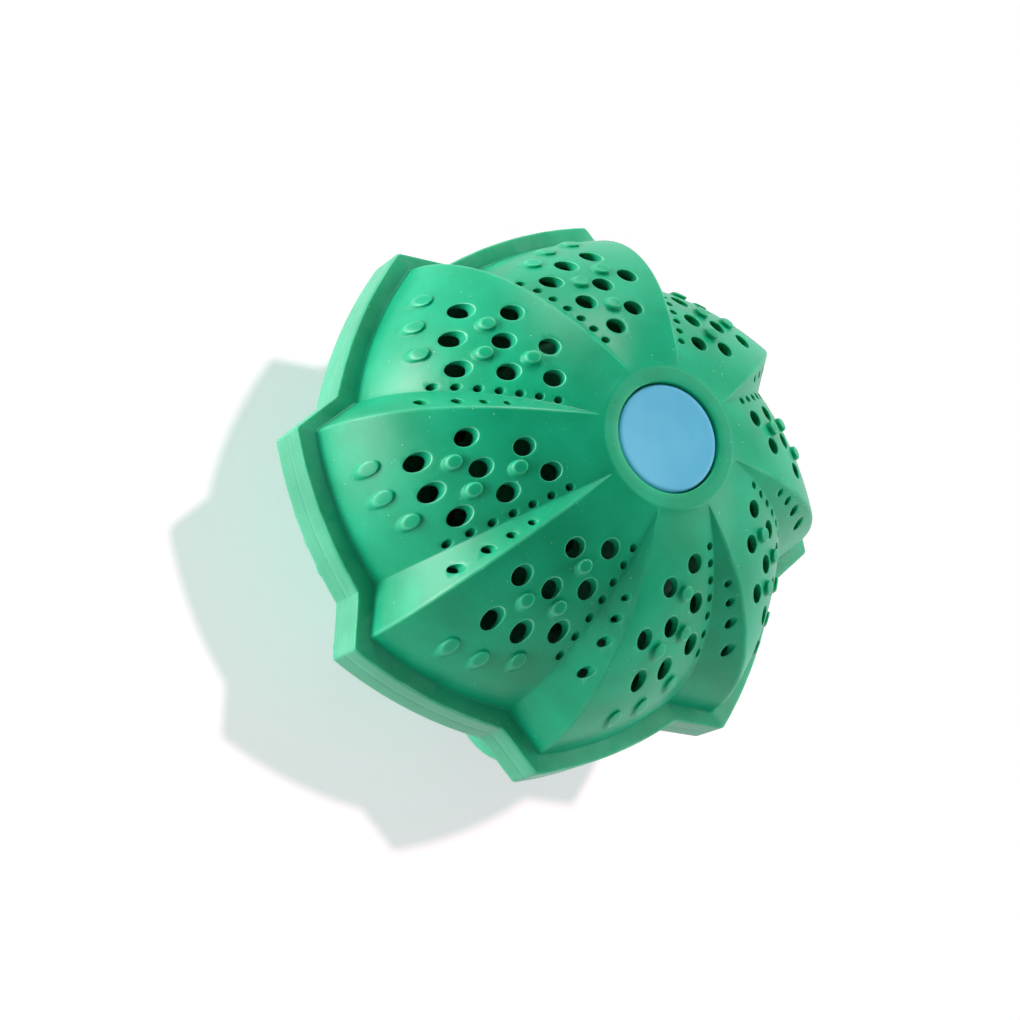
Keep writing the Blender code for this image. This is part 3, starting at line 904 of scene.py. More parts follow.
    @staticmethod
    def _edge_row(edge: np.ndarray, across: np.ndarray, inset: float, height: float) -> np.ndarray:
        """Copy the flange's edge, moved inwards and to a height.

        Args:
            edge: The points of the edge.
            across: The outward direction in plan at each.
            inset: How far inwards they move.
            height: Their height.

        Returns:
            The points of the row.
        """
        row = edge.copy()
        row[:, :2] -= across * inset
        row[:, 2] = height
        return row

    @staticmethod
    def _round_steps(size: float) -> list[tuple[float, float]]:
        """Give the insets and drops round an outer edge, from its flat to its side."""
        return [(size * inset, size * drop) for inset, drop in quarter(4)]

    def wall_mesh(self) -> bpy.types.Mesh:
        """Wrap a grid into the closed wall of the shell, without holes or bosses.

        Returns:
            The wall.
        """
        bm = bmesh.new()
        wrapped_grid(bm, self._rows())
        return mesh_from(bm, "shell wall")

    def _stack(self, bm: bmesh.types.BMesh, feature: Feature,
               rings: list[tuple[float, float | None, float]]) -> None:
        """Build a closed upright plug whose rings follow the petal, and repeat it on every petal.

        Args:
            bm: The bmesh to build in.
            feature: The hole or boss that the plug is for.
            rings: Radius, rise over the skin and fixed height of each ring. A rise of
                None means that the ring lies flat at the fixed height.
        """
        x0, y0 = feature.place
        around = np.arange(feature.sides + 1) * 2.0 * math.pi / feature.sides
        rows = []
        for radius, rise, height in rings:
            along = radius * feature.squeeze * np.cos(around)
            across = radius * np.sin(around)
            xs = x0 + along * math.cos(feature.lean) - across * math.sin(feature.lean)
            ys = y0 + along * math.sin(feature.lean) + across * math.cos(feature.lean)
            if rise is None:
                zs = np.full(xs.shape, height)
            else:
                zs = self.skin.height_over(xs, ys) + rise * (1.0 - feature.tilt * along)
            rows.append(np.stack([xs, ys, zs], axis=-1))
        grid = wrapped_grid(bm, rows)
        bmesh.ops.remove_doubles(bm, verts=grid, dist=WELD)
        verts = [vert for vert in grid if vert.is_valid]
        ends = {edge for vert in verts for edge in vert.link_edges if edge.is_boundary}
        bmesh.ops.holes_fill(bm, edges=list(ends), sides=0)
        faces = {face for vert in verts for face in vert.link_faces}
        steps = self.skin.teeth - 1
        bmesh.ops.spin(bm, geom=verts + list(faces), cent=(0.0, 0.0, 0.0), axis=(0.0, 0.0, 1.0),
                       angle=self.skin.tooth_angle * steps, steps=steps, use_duplicate=True)

    def hole_mesh(self) -> bpy.types.Mesh:
        """Make the plugs that cut the holes, each flared into a soft rim.

        Returns:
            The plugs of every petal.
        """
        bm = bmesh.new()
        for hole in self.layout.holes():
            steep = self.skin.steepness(*hole.place)
            mouth = hole.size + hole.soft * self.hole_flare
            rings = [(mouth, self.hole_lift * steep, 0.0), (mouth, self.hole_clear * steep, 0.0)]
            rings += [(hole.size + hole.soft * inset, -hole.soft * drop * steep, 0.0)
                      for inset, drop in quarter(4, 1)]
            rings.append((hole.size, None, self.skin.flange_top + self.hole_floor))
            self._stack(bm, hole, rings)
        return mesh_from(bm, "holes")

    def fitted_pegs(self) -> list[tuple[Feature, float]]:
        """Fit every boss to the slope it stands on.

        Returns:
            Each boss with its rise.
        """
        made = []
        for boss in self.layout.pegs():
            slope_x, slope_y = self.skin.slope(*boss.place)
            steep = self.skin.steepness(*boss.place)
            rise = min(max(self.boss_height, self.boss_proud * steep), self.boss_limit)
            fitted = replace(boss, squeeze=steep ** -self.boss_squeeze, lean=math.atan2(slope_y, slope_x),
                             tilt=self.boss_level * math.hypot(slope_x, slope_y) / rise)
            made.append((fitted, rise))
        return made

    def boss_mesh(self) -> bpy.types.Mesh:
        """Make the bosses, upright pegs with soft edges whose tops lie along the petal.

        Returns:
            The bosses of every petal.
        """
        bm = bmesh.new()
        for boss, rise in self.fitted_pegs():
            size, soft, root = boss.size, boss.soft, self.boss_root
            foot = size + self.boss_foot * root
            rings = [(foot, -self.boss_depth, 0.0), (foot, -self.boss_sunk, 0.0)]
            rings += [(size + root * outward, root * lift, 0.0) for outward, lift in quarter(3, 1)]
            rings += [(size - self.boss_taper - soft * inset, rise - soft * drop, 0.0)
                      for drop, inset in quarter(4)]
            rings.append((self.boss_middle * (size - soft), rise + self.boss_crown, 0.0))
            self._stack(bm, boss, rings)
        return mesh_from(bm, "bosses")

    def _crest_marks(self, spots: Spots) -> np.ndarray:
        """Mark the ridges' crests on the outside of the dome, where the rubber gets pale scuffing and a
        painted highlight.

        Args:
            spots: The shell's vertices.

        Returns:
            The mark of each vertex.
        """
        skin = self.skin
        tooth = skin.tooth_angle
        cut = skin.section(np.clip(spots.z, skin.flange_top, skin.ring_height))
        aside = np.abs(np.mod(spots.angle - cut["ridge_a"] + tooth / 2.0, tooth) - tooth / 2.0)
        crest = np.clip(1.0 - aside / cut["ridge_half"], 0.0, 1.0)
        surface = skin.radius_at(np.clip(spots.z, 0.0, skin.ring_height), spots.angle)
        outside = np.abs(spots.radius - surface) < self.crest_near
        above = spots.z > skin.flange_top + self.foot_fillet
        return np.where(outside & above, self.crest_mark * crest, 0.0)

    def _flange_marks(self, spots: Spots, mark: np.ndarray) -> np.ndarray:
        """Add the flange's upper rim, which gets pale scuffing and a painted highlight, and, fainter, its
        edge at the parting plane.

        Args:
            spots: The shell's vertices.
            mark: Their marks so far.

        Returns:
            The marks with these added.
        """
        rim_in, rim_half = (share * self.rim_round for share in self.rim_band)
        seam_in, seam_half = (share * self.parting_round for share in self.seam_band)
        rim = band(spots.z, self.skin.flange_top - rim_in, rim_half)
        seam = self.seam_mark * band(spots.z, self.parting + seam_in, seam_half)
        outer = spots.radius > self.outline.notch_radius - self.flange_near
        return np.where(outer, np.maximum(mark, np.maximum(rim, seam)), mark)

    def _hole_marks(self, spots: Spots, mark: np.ndarray) -> np.ndarray:
        """Add the rims of the large holes, which get a painted highlight.

        Args:
            spots: The shell's vertices.
            mark: Their marks so far.

        Returns:
            The marks with these added.
        """
        for hole in self.layout.holes():
            if hole.soft < self.least_marked:
                continue
            start, end = (hole.size + share * hole.soft for share in self.hole_lip)
            near = np.abs(spots.z - spots.over) < self.hole_near * hole.soft
            for petal in range(self.skin.teeth):
                turn = hole.angle + petal * self.skin.tooth_angle
                away = np.hypot(spots.x - hole.radius * math.cos(turn),
                                spots.y - hole.radius * math.sin(turn))
                mark = np.where((away > start) & (away < end) & near, 1.0, mark)
        return mark

    def _boss_marks(self, spots: Spots, mark: np.ndarray) -> np.ndarray:
        """Add the rounded edges of the bosses' tops, which get pale scuffing and a painted highlight.

        Args:
            spots: The shell's vertices.
            mark: Their marks so far.

        Returns:
            The marks with these added.
        """
        for boss, rise in self.fitted_pegs():
            edge = boss.size - self.boss_taper
            end, start = (edge - share * boss.soft for share in self.boss_lip)
            high = spots.z - spots.over > rise - boss.soft
            for petal in range(self.skin.teeth):
                turn = petal * self.skin.tooth_angle
                px = spots.x * math.cos(turn) + spots.y * math.sin(turn) - boss.place[0]
                py = spots.y * math.cos(turn) - spots.x * math.sin(turn) - boss.place[1]
                along = (px * math.cos(boss.lean) + py * math.sin(boss.lean)) / boss.squeeze
                away = np.hypot(along, py * math.cos(boss.lean) - px * math.sin(boss.lean))
                mark = np.where((away < end) & (away > start) & high, self.boss_mark, mark)
        return mark

    def mark_edges(self, mesh: bpy.types.Mesh) -> None:
        """Store how near each vertex lies to a crest, a rim or an edge, where the rubber is painted pale,
        partly as scuffing and partly as a highlight.

        Args:
            mesh: The finished upper shell, which gets an attribute named edge.
        """
        co = np.empty(3 * len(mesh.vertices))
        mesh.vertices.foreach_get("co", co)
        x, y, z = co.reshape(-1, 3).T
        spots = Spots(x, y, z, self.skin.height_over(x, y))
        mark = self._crest_marks(spots)
        for add_marks in (self._flange_marks, self._hole_marks, self._boss_marks):
            mark = add_marks(spots, mark)
        layer = mesh.attributes.new("edge", "FLOAT", "POINT")
        layer.data.foreach_set("value", mark.astype(np.float32))

    def mesh(self) -> bpy.types.Mesh:
        """Build the upper shell's finished mesh.

        Returns:
            The mesh, with its edges marked.
        """
        made = combined(self.wall_mesh(), [self.boss_mesh()], [self.hole_mesh()], "upper shell",
                        self.crease_deg)
        self.mark_edges(made)
        return made

    def build(self, pole: Pole, mesh: bpy.types.Mesh, material: bpy.types.Material) -> bpy.types.Object:
        """Stand a finished shell mesh in the scene for one pole.

        Args:
            pole: The end of the ball that the shell covers.
            mesh: The upper shell's mesh.
            material: Its rubber.

        Returns:
            The piece.
        """
        if pole is Pole.LOWER:
            mesh = mirrored(mesh, "lower shell")
        return add_piece(f"{pole.word}_petal_shell", mesh, material, "shell_green", "ball",
                         f"{pole.word}_shell")


def add_piece(name: str, mesh: bpy.types.Mesh, material: bpy.types.Material, slot: str, body: str,
              *nodes: str) -> bpy.types.Object:
    """Add a finished piece that stands for CAD nodes.

    Args:
        name: Name of the piece.
        mesh: Its mesh, in place.
        material: Its material.
        slot: The record's material slot meant for it; not used.
        body: The CAD body that it rides on.
        nodes: The CAD nodes that it stands for.

    Returns:
        The new object.
    """
    mesh.materials.clear()
    mesh.materials.append(material)
    obj = add_object(name, mesh)
    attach(obj, body)
    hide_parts(*nodes)
    LOG.info("%s: %d faces", name, len(mesh.polygons))
    return obj


@dataclass
class PoleFitting:
    """The cap and the magnet at a pole."""

    cap_radius: float = 9.5 * MM
    cap_top: float = 43.45 * MM
    cap_underside: float = 41.45 * MM
    cap_dish: float = 0.28 * MM
    dish_shares: tuple[float, ...] = (0.0, 0.15, 0.3, 0.45, 0.6, 0.75, 0.85)
    edge_round: float = 0.7 * MM
    underside_round: float = 0.2 * MM
    spigot_radius: float = 6.2 * MM
    spigot_end: float = 40.25 * MM
    spigot_round: float = 0.3 * MM
    magnet_top: float = 39.95 * MM
    magnet_low: float = 36.95 * MM
    magnet_round: float = 0.4 * MM

    def cap_mesh(self) -> bpy.types.Mesh:
        """Turn the cap, whose face is very slightly dished.

        Returns:
            The cap with its spigot.
        """
        face = [(self.cap_radius * share, self.cap_top - self.cap_dish * (1.0 - share ** 2), 0.0)
                for share in self.dish_shares]
        rim = [(self.cap_radius, self.cap_top, self.edge_round),
               (self.cap_radius, self.cap_underside, self.underside_round),
               (self.spigot_radius, self.cap_underside, self.underside_round),
               (self.spigot_radius, self.spigot_end, self.spigot_round), (0.0, self.spigot_end, 0.0)]
        return spun_mesh(rounded_profile(face + rim, steps=6), "cap", steps=128)

    def magnet_mesh(self) -> bpy.types.Mesh:
        """Turn the disc magnet with its rounded edges.

        Returns:
            The magnet.
        """
        corners = [(0.0, self.magnet_top, 0.0), (self.spigot_radius, self.magnet_top, self.magnet_round),
                   (self.spigot_radius, self.magnet_low, self.magnet_round), (0.0, self.magnet_low, 0.0)]
        return spun_mesh(rounded_profile(corners), "magnet")

    def build(self, pole: Pole, blue: bpy.types.Material, nickel: bpy.types.Material) -> None:
        """Stand the cap and the magnet at one pole.

        Args:
            pole: The end of the ball that they close.
            blue: The cap's plastic.
            nickel: The magnet's plating.
        """
        for kind, mesh, material, slot in (("cap", self.cap_mesh(), blue, "cap_blue"),
                                           ("magnet", self.magnet_mesh(), nickel, "magnet_steel")):
            if pole is Pole.LOWER:
                mesh = mirrored(mesh, f"lower {kind}")
            add_piece(f"{pole.word}_pole_{kind}", mesh, material, slot, "ball", f"{pole.word}_{kind}")


@dataclass
class BeadCore:
    """The plastic core: two halves of a slotted drum with necks, and the cross between them."""

    parting: float = 0.15 * MM
    hub_radius: float = 9.9 * MM
    hub_top: float = 41.15 * MM
    collar_radius: float = 13.0 * MM
    collar_top: float = 39.85 * MM
    collar_low: float = 37.85 * MM
    drum_radius: float = 25.17 * MM
    drum_bore: float = 23.17 * MM
    drum_half: float = 19.2 * MM
    chamber_half: float = 17.2 * MM
    joint_radius: float = 36.5 * MM
    joint_thick: float = 1.5 * MM
    lip_thick: float = 0.9 * MM
    lip_deep: float = 1.5 * MM
    gap: float = 0.3 * MM
    neck_bore: float = 7.4 * MM
    neck_ceiling: float = 34.65 * MM
    pocket_radius: float = 6.5 * MM
    pocket_floor: float = 36.65 * MM
    slot_count: int = 12
    slot_width: float = 4.0 * MM
    slot_low: float = 3.4 * MM
    slot_high: float = 15.6 * MM
    window_width: float = 5.0 * MM
    window_low: float = 21.7 * MM
    window_high: float = 32.15 * MM
    window_count: int = 4
    slot_turn: float = math.radians(7.5)
    cutter_deep: float = 5.0 * MM
    cutter_round: float = 0.3
    drain_radius: float = 1.8 * MM
    drain_deep: float = 4.0 * MM
    drain_count: int = 8
    wall_half: float = 0.6 * MM
    soft: float = 0.35 * MM
    fine_soft: float = 0.1 * MM
    edge_soft: float = 0.2 * MM
    joint_soft: float = 0.5 * MM
    inner_soft: float = 0.6 * MM
    foot_soft: float = 0.8 * MM
    shoulder_soft: float = 1.5 * MM
    spare: float = 1.0 * MM
    corner_angle: float = 1.0
    spin_steps: int = 120
    crease_deg: float = 35.0

    def _outer(self, pole: Pole) -> bpy.types.Mesh:
        """Turn the outside of a half, from its hub to its joint flange, with the lip of the upper one.

        Args:
            pole: The end of the ball that the half lies at.

        Returns:
            The closed outside.
        """
        joint_top = self.parting + self.joint_thick
        corners = [(0.0, self.hub_top, 0.0), (self.hub_radius, self.hub_top, self.soft),
                   (self.hub_radius, self.collar_top, self.fine_soft),
                   (self.collar_radius, self.collar_top, self.soft),
                   (self.collar_radius, self.collar_low, self.soft),
                   (self.hub_radius, self.collar_low, self.soft),
                   (self.hub_radius, self.drum_half, self.foot_soft),
                   (self.drum_radius, self.drum_half, self.shoulder_soft),
                   (self.drum_radius, joint_top, self.inner_soft),
                   (self.joint_radius, joint_top, self.joint_soft),
                   (self.joint_radius, self.parting, self.edge_soft)]
        if pole is Pole.UPPER:
            lip = self.drum_bore + self.lip_thick
            corners += [(lip, self.parting, self.fine_soft), (lip, -self.lip_deep, self.edge_soft),
                        (0.0, -self.lip_deep, 0.0)]
        else:
            corners.append((0.0, self.parting, 0.0))
        return spun_mesh(rounded_profile(corners), "core outside", self.spin_steps)

    def _bores(self, pole: Pole) -> list[bpy.types.Mesh]:
        """Turn what is bored out of a half: chamber, neck, magnet pocket and the lower one's rebate.

        Args:
            pole: The end of the ball that the half lies at.

        Returns:
            The cutters.
        """
        deep = -self.lip_deep - self.spare
        bores = [[(0.0, self.chamber_half, 0.0), (self.drum_bore, self.chamber_half, self.foot_soft),
                  (self.drum_bore, deep, 0.0), (0.0, deep, 0.0)],
                 [(0.0, self.neck_ceiling, 0.0), (self.neck_bore, self.neck_ceiling, self.inner_soft),
                  (self.neck_bore, self.drum_half, self.inner_soft), (0.0, self.drum_half, 0.0)],
                 [(0.0, self.hub_top + self.spare, 0.0), (self.pocket_radius, self.hub_top + self.spare, 0.0),
                  (self.pocket_radius, self.pocket_floor, self.edge_soft), (0.0, self.pocket_floor, 0.0)]]
        if pole is Pole.LOWER:
            wide = self.drum_bore + self.lip_thick + self.gap
            deep_end = self.lip_deep + self.gap
            bores.append([(0.0, deep_end, 0.0), (wide, deep_end, self.fine_soft),
                          (wide, -self.spare, 0.0), (0.0, -self.spare, 0.0)])
        return [spun_mesh(rounded_profile(corners), f"bore {index}", self.spin_steps)
                for index, corners in enumerate(bores)]

    def _slots(self) -> bpy.types.Mesh:
        """Make the round-ended cutters of the drum's slots and the neck's windows.

        Returns:
            The cutters.
        """
        bm = bmesh.new()
        middle = (self.drum_radius + self.drum_bore) / 2.0
        for index in range(self.slot_count):
            turn = index * 2.0 * math.pi / self.slot_count + self.slot_turn
            self._cutter(bm, turn, middle, self.slot_width, (self.slot_low, self.slot_high))
        wall = (self.hub_radius + self.neck_bore) / 2.0
        for index in range(self.window_count):
            turn = index * 2.0 * math.pi / self.window_count
            self._cutter(bm, turn, wall, self.window_width, (self.window_low, self.window_high))
        return mesh_from(bm, "slots")

    def _cutter(self, bm: bmesh.types.BMesh, turn: float, reach: float, wide: float,
                span: tuple[float, float]) -> None:
        """Add one round-ended block that lies across a wall.

        Args:
            bm: The bmesh to build in.
            turn: Its angle about the axis.
            reach: How far out its middle lies.
            wide: Its width.
            span: The heights of its two ends.
        """
        made = bmesh.ops.create_cube(bm, size=1.0)["verts"]
        bmesh.ops.scale(bm, verts=made, vec=(self.cutter_deep, wide, span[1] - span[0]))
        long_edges = {edge for vert in made for edge in vert.link_edges
                      if abs(edge.verts[0].co.x - edge.verts[1].co.x) > self.cutter_deep / 2.0}
        grown = bmesh.ops.bevel(bm, geom=list(long_edges), offset=self.cutter_round * wide,
                                offset_type="OFFSET", segments=5, profile=0.5, affect="EDGES",
                                material=-1, clamp_overlap=True)["verts"]
        verts = list({vert for vert in [*made, *grown] if vert.is_valid})
        place = Matrix.Rotation(turn, 4, "Z") @ Matrix.Translation((reach, 0.0, (span[0] + span[1]) / 2.0))
        bmesh.ops.transform(bm, matrix=place, verts=verts)

    def _drains(self) -> bpy.types.Mesh:
        """Make the cutters of the drain holes in the drum's end wall.

        Returns:
            The cutters.
        """
        bm = bmesh.new()
        circle = (self.neck_bore + self.drum_bore) / 2.0
        height = (self.chamber_half + self.drum_half) / 2.0
        for index in range(self.drain_count):
            turn = (index + 0.5) * 2.0 * math.pi / self.drain_count
            centre = Matrix.Translation((circle * math.cos(turn), circle * math.sin(turn), height))
            bmesh.ops.create_cone(bm, cap_ends=True, segments=24, radius1=self.drain_radius,
                                  radius2=self.drain_radius, depth=self.drain_deep, matrix=centre)
        return mesh_from(bm, "drains")

    def half_mesh(self, pole: Pole) -> bpy.types.Mesh:
        """Build one half of the core as it lies at the upper pole."""
        cuts = [*self._bores(pole), self._slots(), self._drains()]
        return combined(self._outer(pole), [], cuts, f"{pole.word} core", self.crease_deg)

    def cross_mesh(self) -> bpy.types.Mesh:
        """Build the cross that parts the drum, with softened edges.

        Returns:
            The cross.
        """
        bm = bmesh.new()
        reach = self.drum_bore - self.gap
        half = self.chamber_half - self.gap
        made = bmesh.ops.create_cube(bm, size=2.0)["verts"]
        bmesh.ops.scale(bm, verts=made, vec=(self.wall_half, self.wall_half, half))
        bm.normal_update()
        sides = [face for face in bm.faces if abs(face.normal.z) < 0.5]
        for arm in bmesh.ops.extrude_discrete_faces(bm, faces=sides)["faces"]:
            bmesh.ops.translate(bm, verts=arm.verts, vec=arm.normal * (reach - self.wall_half))
        bm.normal_update()
        edges = [edge for edge in bm.edges if edge.is_convex and edge.calc_face_angle() > self.corner_angle]
        bmesh.ops.bevel(bm, geom=edges, offset=self.edge_soft, offset_type="OFFSET", segments=3, profile=0.5,
                        affect="EDGES", material=-1, clamp_overlap=True)
        return mesh_from(bm, "cross", self.crease_deg)

    def build(self, plastic: bpy.types.Material, cross: bpy.types.Material) -> None:
        """Stand both halves and the cross in the scene.

        Args:
            plastic: The halves' plastic.
            cross: The cross's plastic.
        """
        for pole in Pole:
            mesh = self.half_mesh(pole)
            if pole is Pole.LOWER:
                mesh = mirrored(mesh, "lower core")
            add_piece(f"{pole.word}_bead_drum", mesh, plastic, "core_dark", "ball", f"{pole.word}_core_half")
        add_piece("bead_drum_cross", self.cross_mesh(), cross, "divider_dark", "ball", "core_divider")


class BeadKind(Enum):
    """The four kinds of ceramic bead, one to a compartment."""

    WHITE = "white"
    TAN = "tan"
    GREY = "grey"
    RUST = "rust"


@dataclass
class BeadCharge:
    """The beads of one compartment, each a slightly uneven ball."""

    kind: BeadKind
    count: int = 12
    radius: float = 4.0 * MM
    unevenness: float = 0.06 * MM
    dip_scale: float = 1.6
    dip_shift: tuple[float, float, float] = (1.7, 0.9, 2.3)

    def _bead_mesh(self, name: str, seed: int) -> bpy.types.Mesh:
        """Shape one bead, a hair smaller than its solid where it dips.

        Args:
            name: Name of the mesh.
            seed: The bead's number, which sets where it dips.

        Returns:
            The bead, about the origin.
        """
        bm = bmesh.new()
        bmesh.ops.create_icosphere(bm, subdivisions=4, radius=self.radius)
        shift = Vector([seed * part for part in self.dip_shift])
        for vert in bm.verts:
            dip = 0.5 + 0.5 * noise.noise(vert.co / self.radius * self.dip_scale + shift)
            vert.co *= 1.0 - dip * self.unevenness / self.radius
        return mesh_from(bm, name, crease_deg=180.0)

    def build(self, material: bpy.types.Material) -> None:
        """Put a bead where each bead of the frame lies.

        Args:
            material: The beads' ceramic.
        """
        for number in range(1, self.count + 1):
            node = f"{self.kind.value}_bead_{number:02d}"
            low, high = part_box(node)
            centre = (Vector(low) + Vector(high)) / 2.0
            mesh = self._bead_mesh(f"bead {node}", number)
            mesh.transform(Matrix.Translation(centre))
            add_piece(f"ceramic_{self.kind.value}_{number:02d}", mesh, material, f"bead_{self.kind.value}",
                      f"{self.kind.value}_charge", node)


# Finishes
class Desk:
    """A node tree, with short ways to add nodes and join them."""

    def __init__(self, tree: bpy.types.NodeTree) -> None:
        """Work on a tree."""
        self.tree = tree

    def feed(self, node: bpy.types.Node, feeds: dict[int | str, Feed]) -> None:
        """Fill a node's inputs.

        Args:
            node: The node.
            feeds: What each input gets, a value or another node's output.
        """
        for key, value in feeds.items():
            if isinstance(value, bpy.types.NodeSocket):
                self.tree.links.new(value, node.inputs[key])
            else:
                node.inputs[key].default_value = value

    def add(self, kind: str, feeds: dict[int | str, Feed] | None = None,
            **settings: object) -> bpy.types.Node:
        """Add a node.

        Args:
            kind: The node's type.
            feeds: What each input gets, a value or another node's output.
            settings: The node's own properties.

        Returns:
            The node.
        """
        node = self.tree.nodes.new(kind)
        for key, value in settings.items():
            setattr(node, key, value)
        self.feed(node, feeds or {})
        return node

    def group(self, tree: bpy.types.NodeTree, feeds: dict[int | str, Feed] | None = None) -> bpy.types.Node:
        """Place a shared group, with this tree's own values where it has any."""
        return self.add("ShaderNodeGroup", feeds, node_tree=tree)

    def place(self) -> bpy.types.NodeSocket:
        """Give the place on the object."""
        return self.add("ShaderNodeTexCoord").outputs["Object"]

    def math(self, operation: str, one: Feed, two: Feed = 0.0) -> bpy.types.NodeSocket:
        """Work out one number from two."""
        return self.add("ShaderNodeMath", {0: one, 1: two}, operation=operation).outputs[0]

    def span(self, value: Feed, low: float, high: float, to_low: float = 0.0,
             to_high: float = 1.0) -> bpy.types.NodeSocket:
        """Carry a range of values over to another range, without passing its ends."""
        feeds = {"Value": value, "From Min": low, "From Max": high, "To Min": to_low, "To Max": to_high}
        return self.add("ShaderNodeMapRange", feeds).outputs["Result"]

    def blend(self, share: Feed, one: Feed, two: Feed) -> bpy.types.NodeSocket:
        """Mix two colours, from the first at 0 to the second at 1."""
        return self.add("ShaderNodeMix", {0: share, 6: one, 7: two}, data_type="RGBA").outputs[2]

    def mottled(self, mottle: bpy.types.NodeSocket, one: Colour, two: Colour,
                ends: tuple[float, float] = MOTTLE_ENDS) -> bpy.types.NodeSocket:
        """Mix two colours in patches, from the first at a mottle's low end to the second."""
        return self.blend(self.span(mottle, *ends), (*one, 1.0), (*two, 1.0))

    def cover(self, under: bpy.types.NodeSocket, paint: Colour, mask: bpy.types.NodeSocket,
              share: Feed) -> bpy.types.NodeSocket:
        """Lay a paint over a colour where a mask is, at a share of full strength."""
        return self.blend(self.math("MULTIPLY", mask, share), under, (*paint, 1.0))

    def varied(self, mottle: bpy.types.NodeSocket, middle: float, spread: float) -> bpy.types.NodeSocket:
        """Give a number that a mottle lowers and raises a little."""
        return self.math("ADD", self.span(mottle, *MOTTLE_ENDS, -spread, spread), middle)

    def bump(self, height: bpy.types.NodeSocket, strength: float, distance: float) -> bpy.types.NodeSocket:
        """Turn a relief into the normal that it gives."""
        feeds = {"Height": height, "Strength": strength, "Distance": distance}
        return self.add("ShaderNodeBump", feeds).outputs["Normal"]


def shared_group(name: str, inputs: dict[str, float], outputs: tuple[str, ...]
                 ) -> tuple[bpy.types.NodeTree, Desk, bpy.types.Node, bpy.types.Node]:
    """Start a node group of plain numbers.

    Args:
        name: The group's name.
        inputs: Each input with its usual value.
        outputs: The names of its outputs.

    Returns:
        The group, a desk to work on it, and its input and output nodes.
    """
    tree = bpy.data.node_groups.new(name, "ShaderNodeTree")
    for label, value in inputs.items():
        tree.interface.new_socket(label, in_out="INPUT", socket_type="NodeSocketFloat").default_value = value
    for label in outputs:
        tree.interface.new_socket(label, in_out="OUTPUT", socket_type="NodeSocketFloat")
    desk = Desk(tree)
    return tree, desk, desk.add("NodeGroupInput"), desk.add("NodeGroupOutput")


def grain_group() -> bpy.types.NodeTree:
    """Make the group that gives a moulded surface's cloudy mottle and its fine grain.

    Returns:
        The group, with inputs Cloud Scale and Grain Scale and outputs Mottle and Grain.
    """
    inputs = {"Cloud Scale": 90.0, "Grain Scale": 2600.0}
    tree, desk, given, result = shared_group("moulded grain", inputs, ("Mottle", "Grain"))
    place = desk.place()
    for source, target, detail in (("Cloud Scale", "Mottle", 4.0), ("Grain Scale", "Grain", 3.0)):
        cloud = desk.add("ShaderNodeTexNoise", {"Vector": place, "Scale": given.outputs[source],
                                                "Detail": detail, "Roughness": 0.55})
        desk.feed(result, {target: cloud.outputs["Fac"]})
    return tree


def speck_group() -> bpy.types.NodeTree:
    """Make the group that gives a mask of tiny specks of dust.

    Returns:
        The group, with inputs Scale, Size and Share and output Mask.
    """
    inputs = {"Scale": 700.0, "Size": 0.09, "Share": 0.12}
    tree, desk, given, result = shared_group("dust specks", inputs, ("Mask",))
    cells = desk.add("ShaderNodeTexVoronoi", {"Vector": desk.place(), "Scale": given.outputs["Scale"]})
    spot = desk.math("LESS_THAN", cells.outputs["Distance"], given.outputs["Size"])
    pick = desk.add("ShaderNodeSeparateColor", {0: cells.outputs["Color"]}).outputs[0]
    chosen = desk.math("LESS_THAN", pick, given.outputs["Share"])
    desk.feed(result, {"Mask": desk.math("MULTIPLY", spot, chosen)})
    return tree


def wear_and_highlight_group() -> bpy.types.NodeTree:
    """Make the group that breaks an edge mask up, as handling does; on the rubber that mask also carries a
    painted highlight.

    Returns:
        The group, with inputs Edge and Break Scale and output Mask.
    """
    inputs = {"Edge": 0.0, "Break Scale": 260.0}
    tree, desk, given, result = shared_group("edge wear", inputs, ("Mask",))
    patches = desk.add("ShaderNodeTexNoise", {"Vector": desk.place(), "Scale": given.outputs["Break Scale"],
                                              "Detail": 3.0})
    kept = desk.span(patches.outputs["Fac"], low=0.3, high=0.62, to_low=0.25)
    desk.feed(result, {"Mask": desk.math("MULTIPLY", given.outputs["Edge"], kept)})
    return tree


@dataclass
class SharedEffects:
    """The node groups that the finishes share."""

    grain: bpy.types.NodeTree = field(default_factory=grain_group)
    specks: bpy.types.NodeTree = field(default_factory=speck_group)
    wear_and_highlight: bpy.types.NodeTree = field(default_factory=wear_and_highlight_group)


def begin_material(name: str) -> tuple[bpy.types.Material, Desk, bpy.types.Node]:
    """Start a material.

    Args:
        name: Its name.

    Returns:
        The material, a desk to work on it, and its Principled shader.
    """
    made = bpy.data.materials.new(name)
    made.use_nodes = True
    return made, Desk(made.node_tree), made.node_tree.nodes["Principled BSDF"]


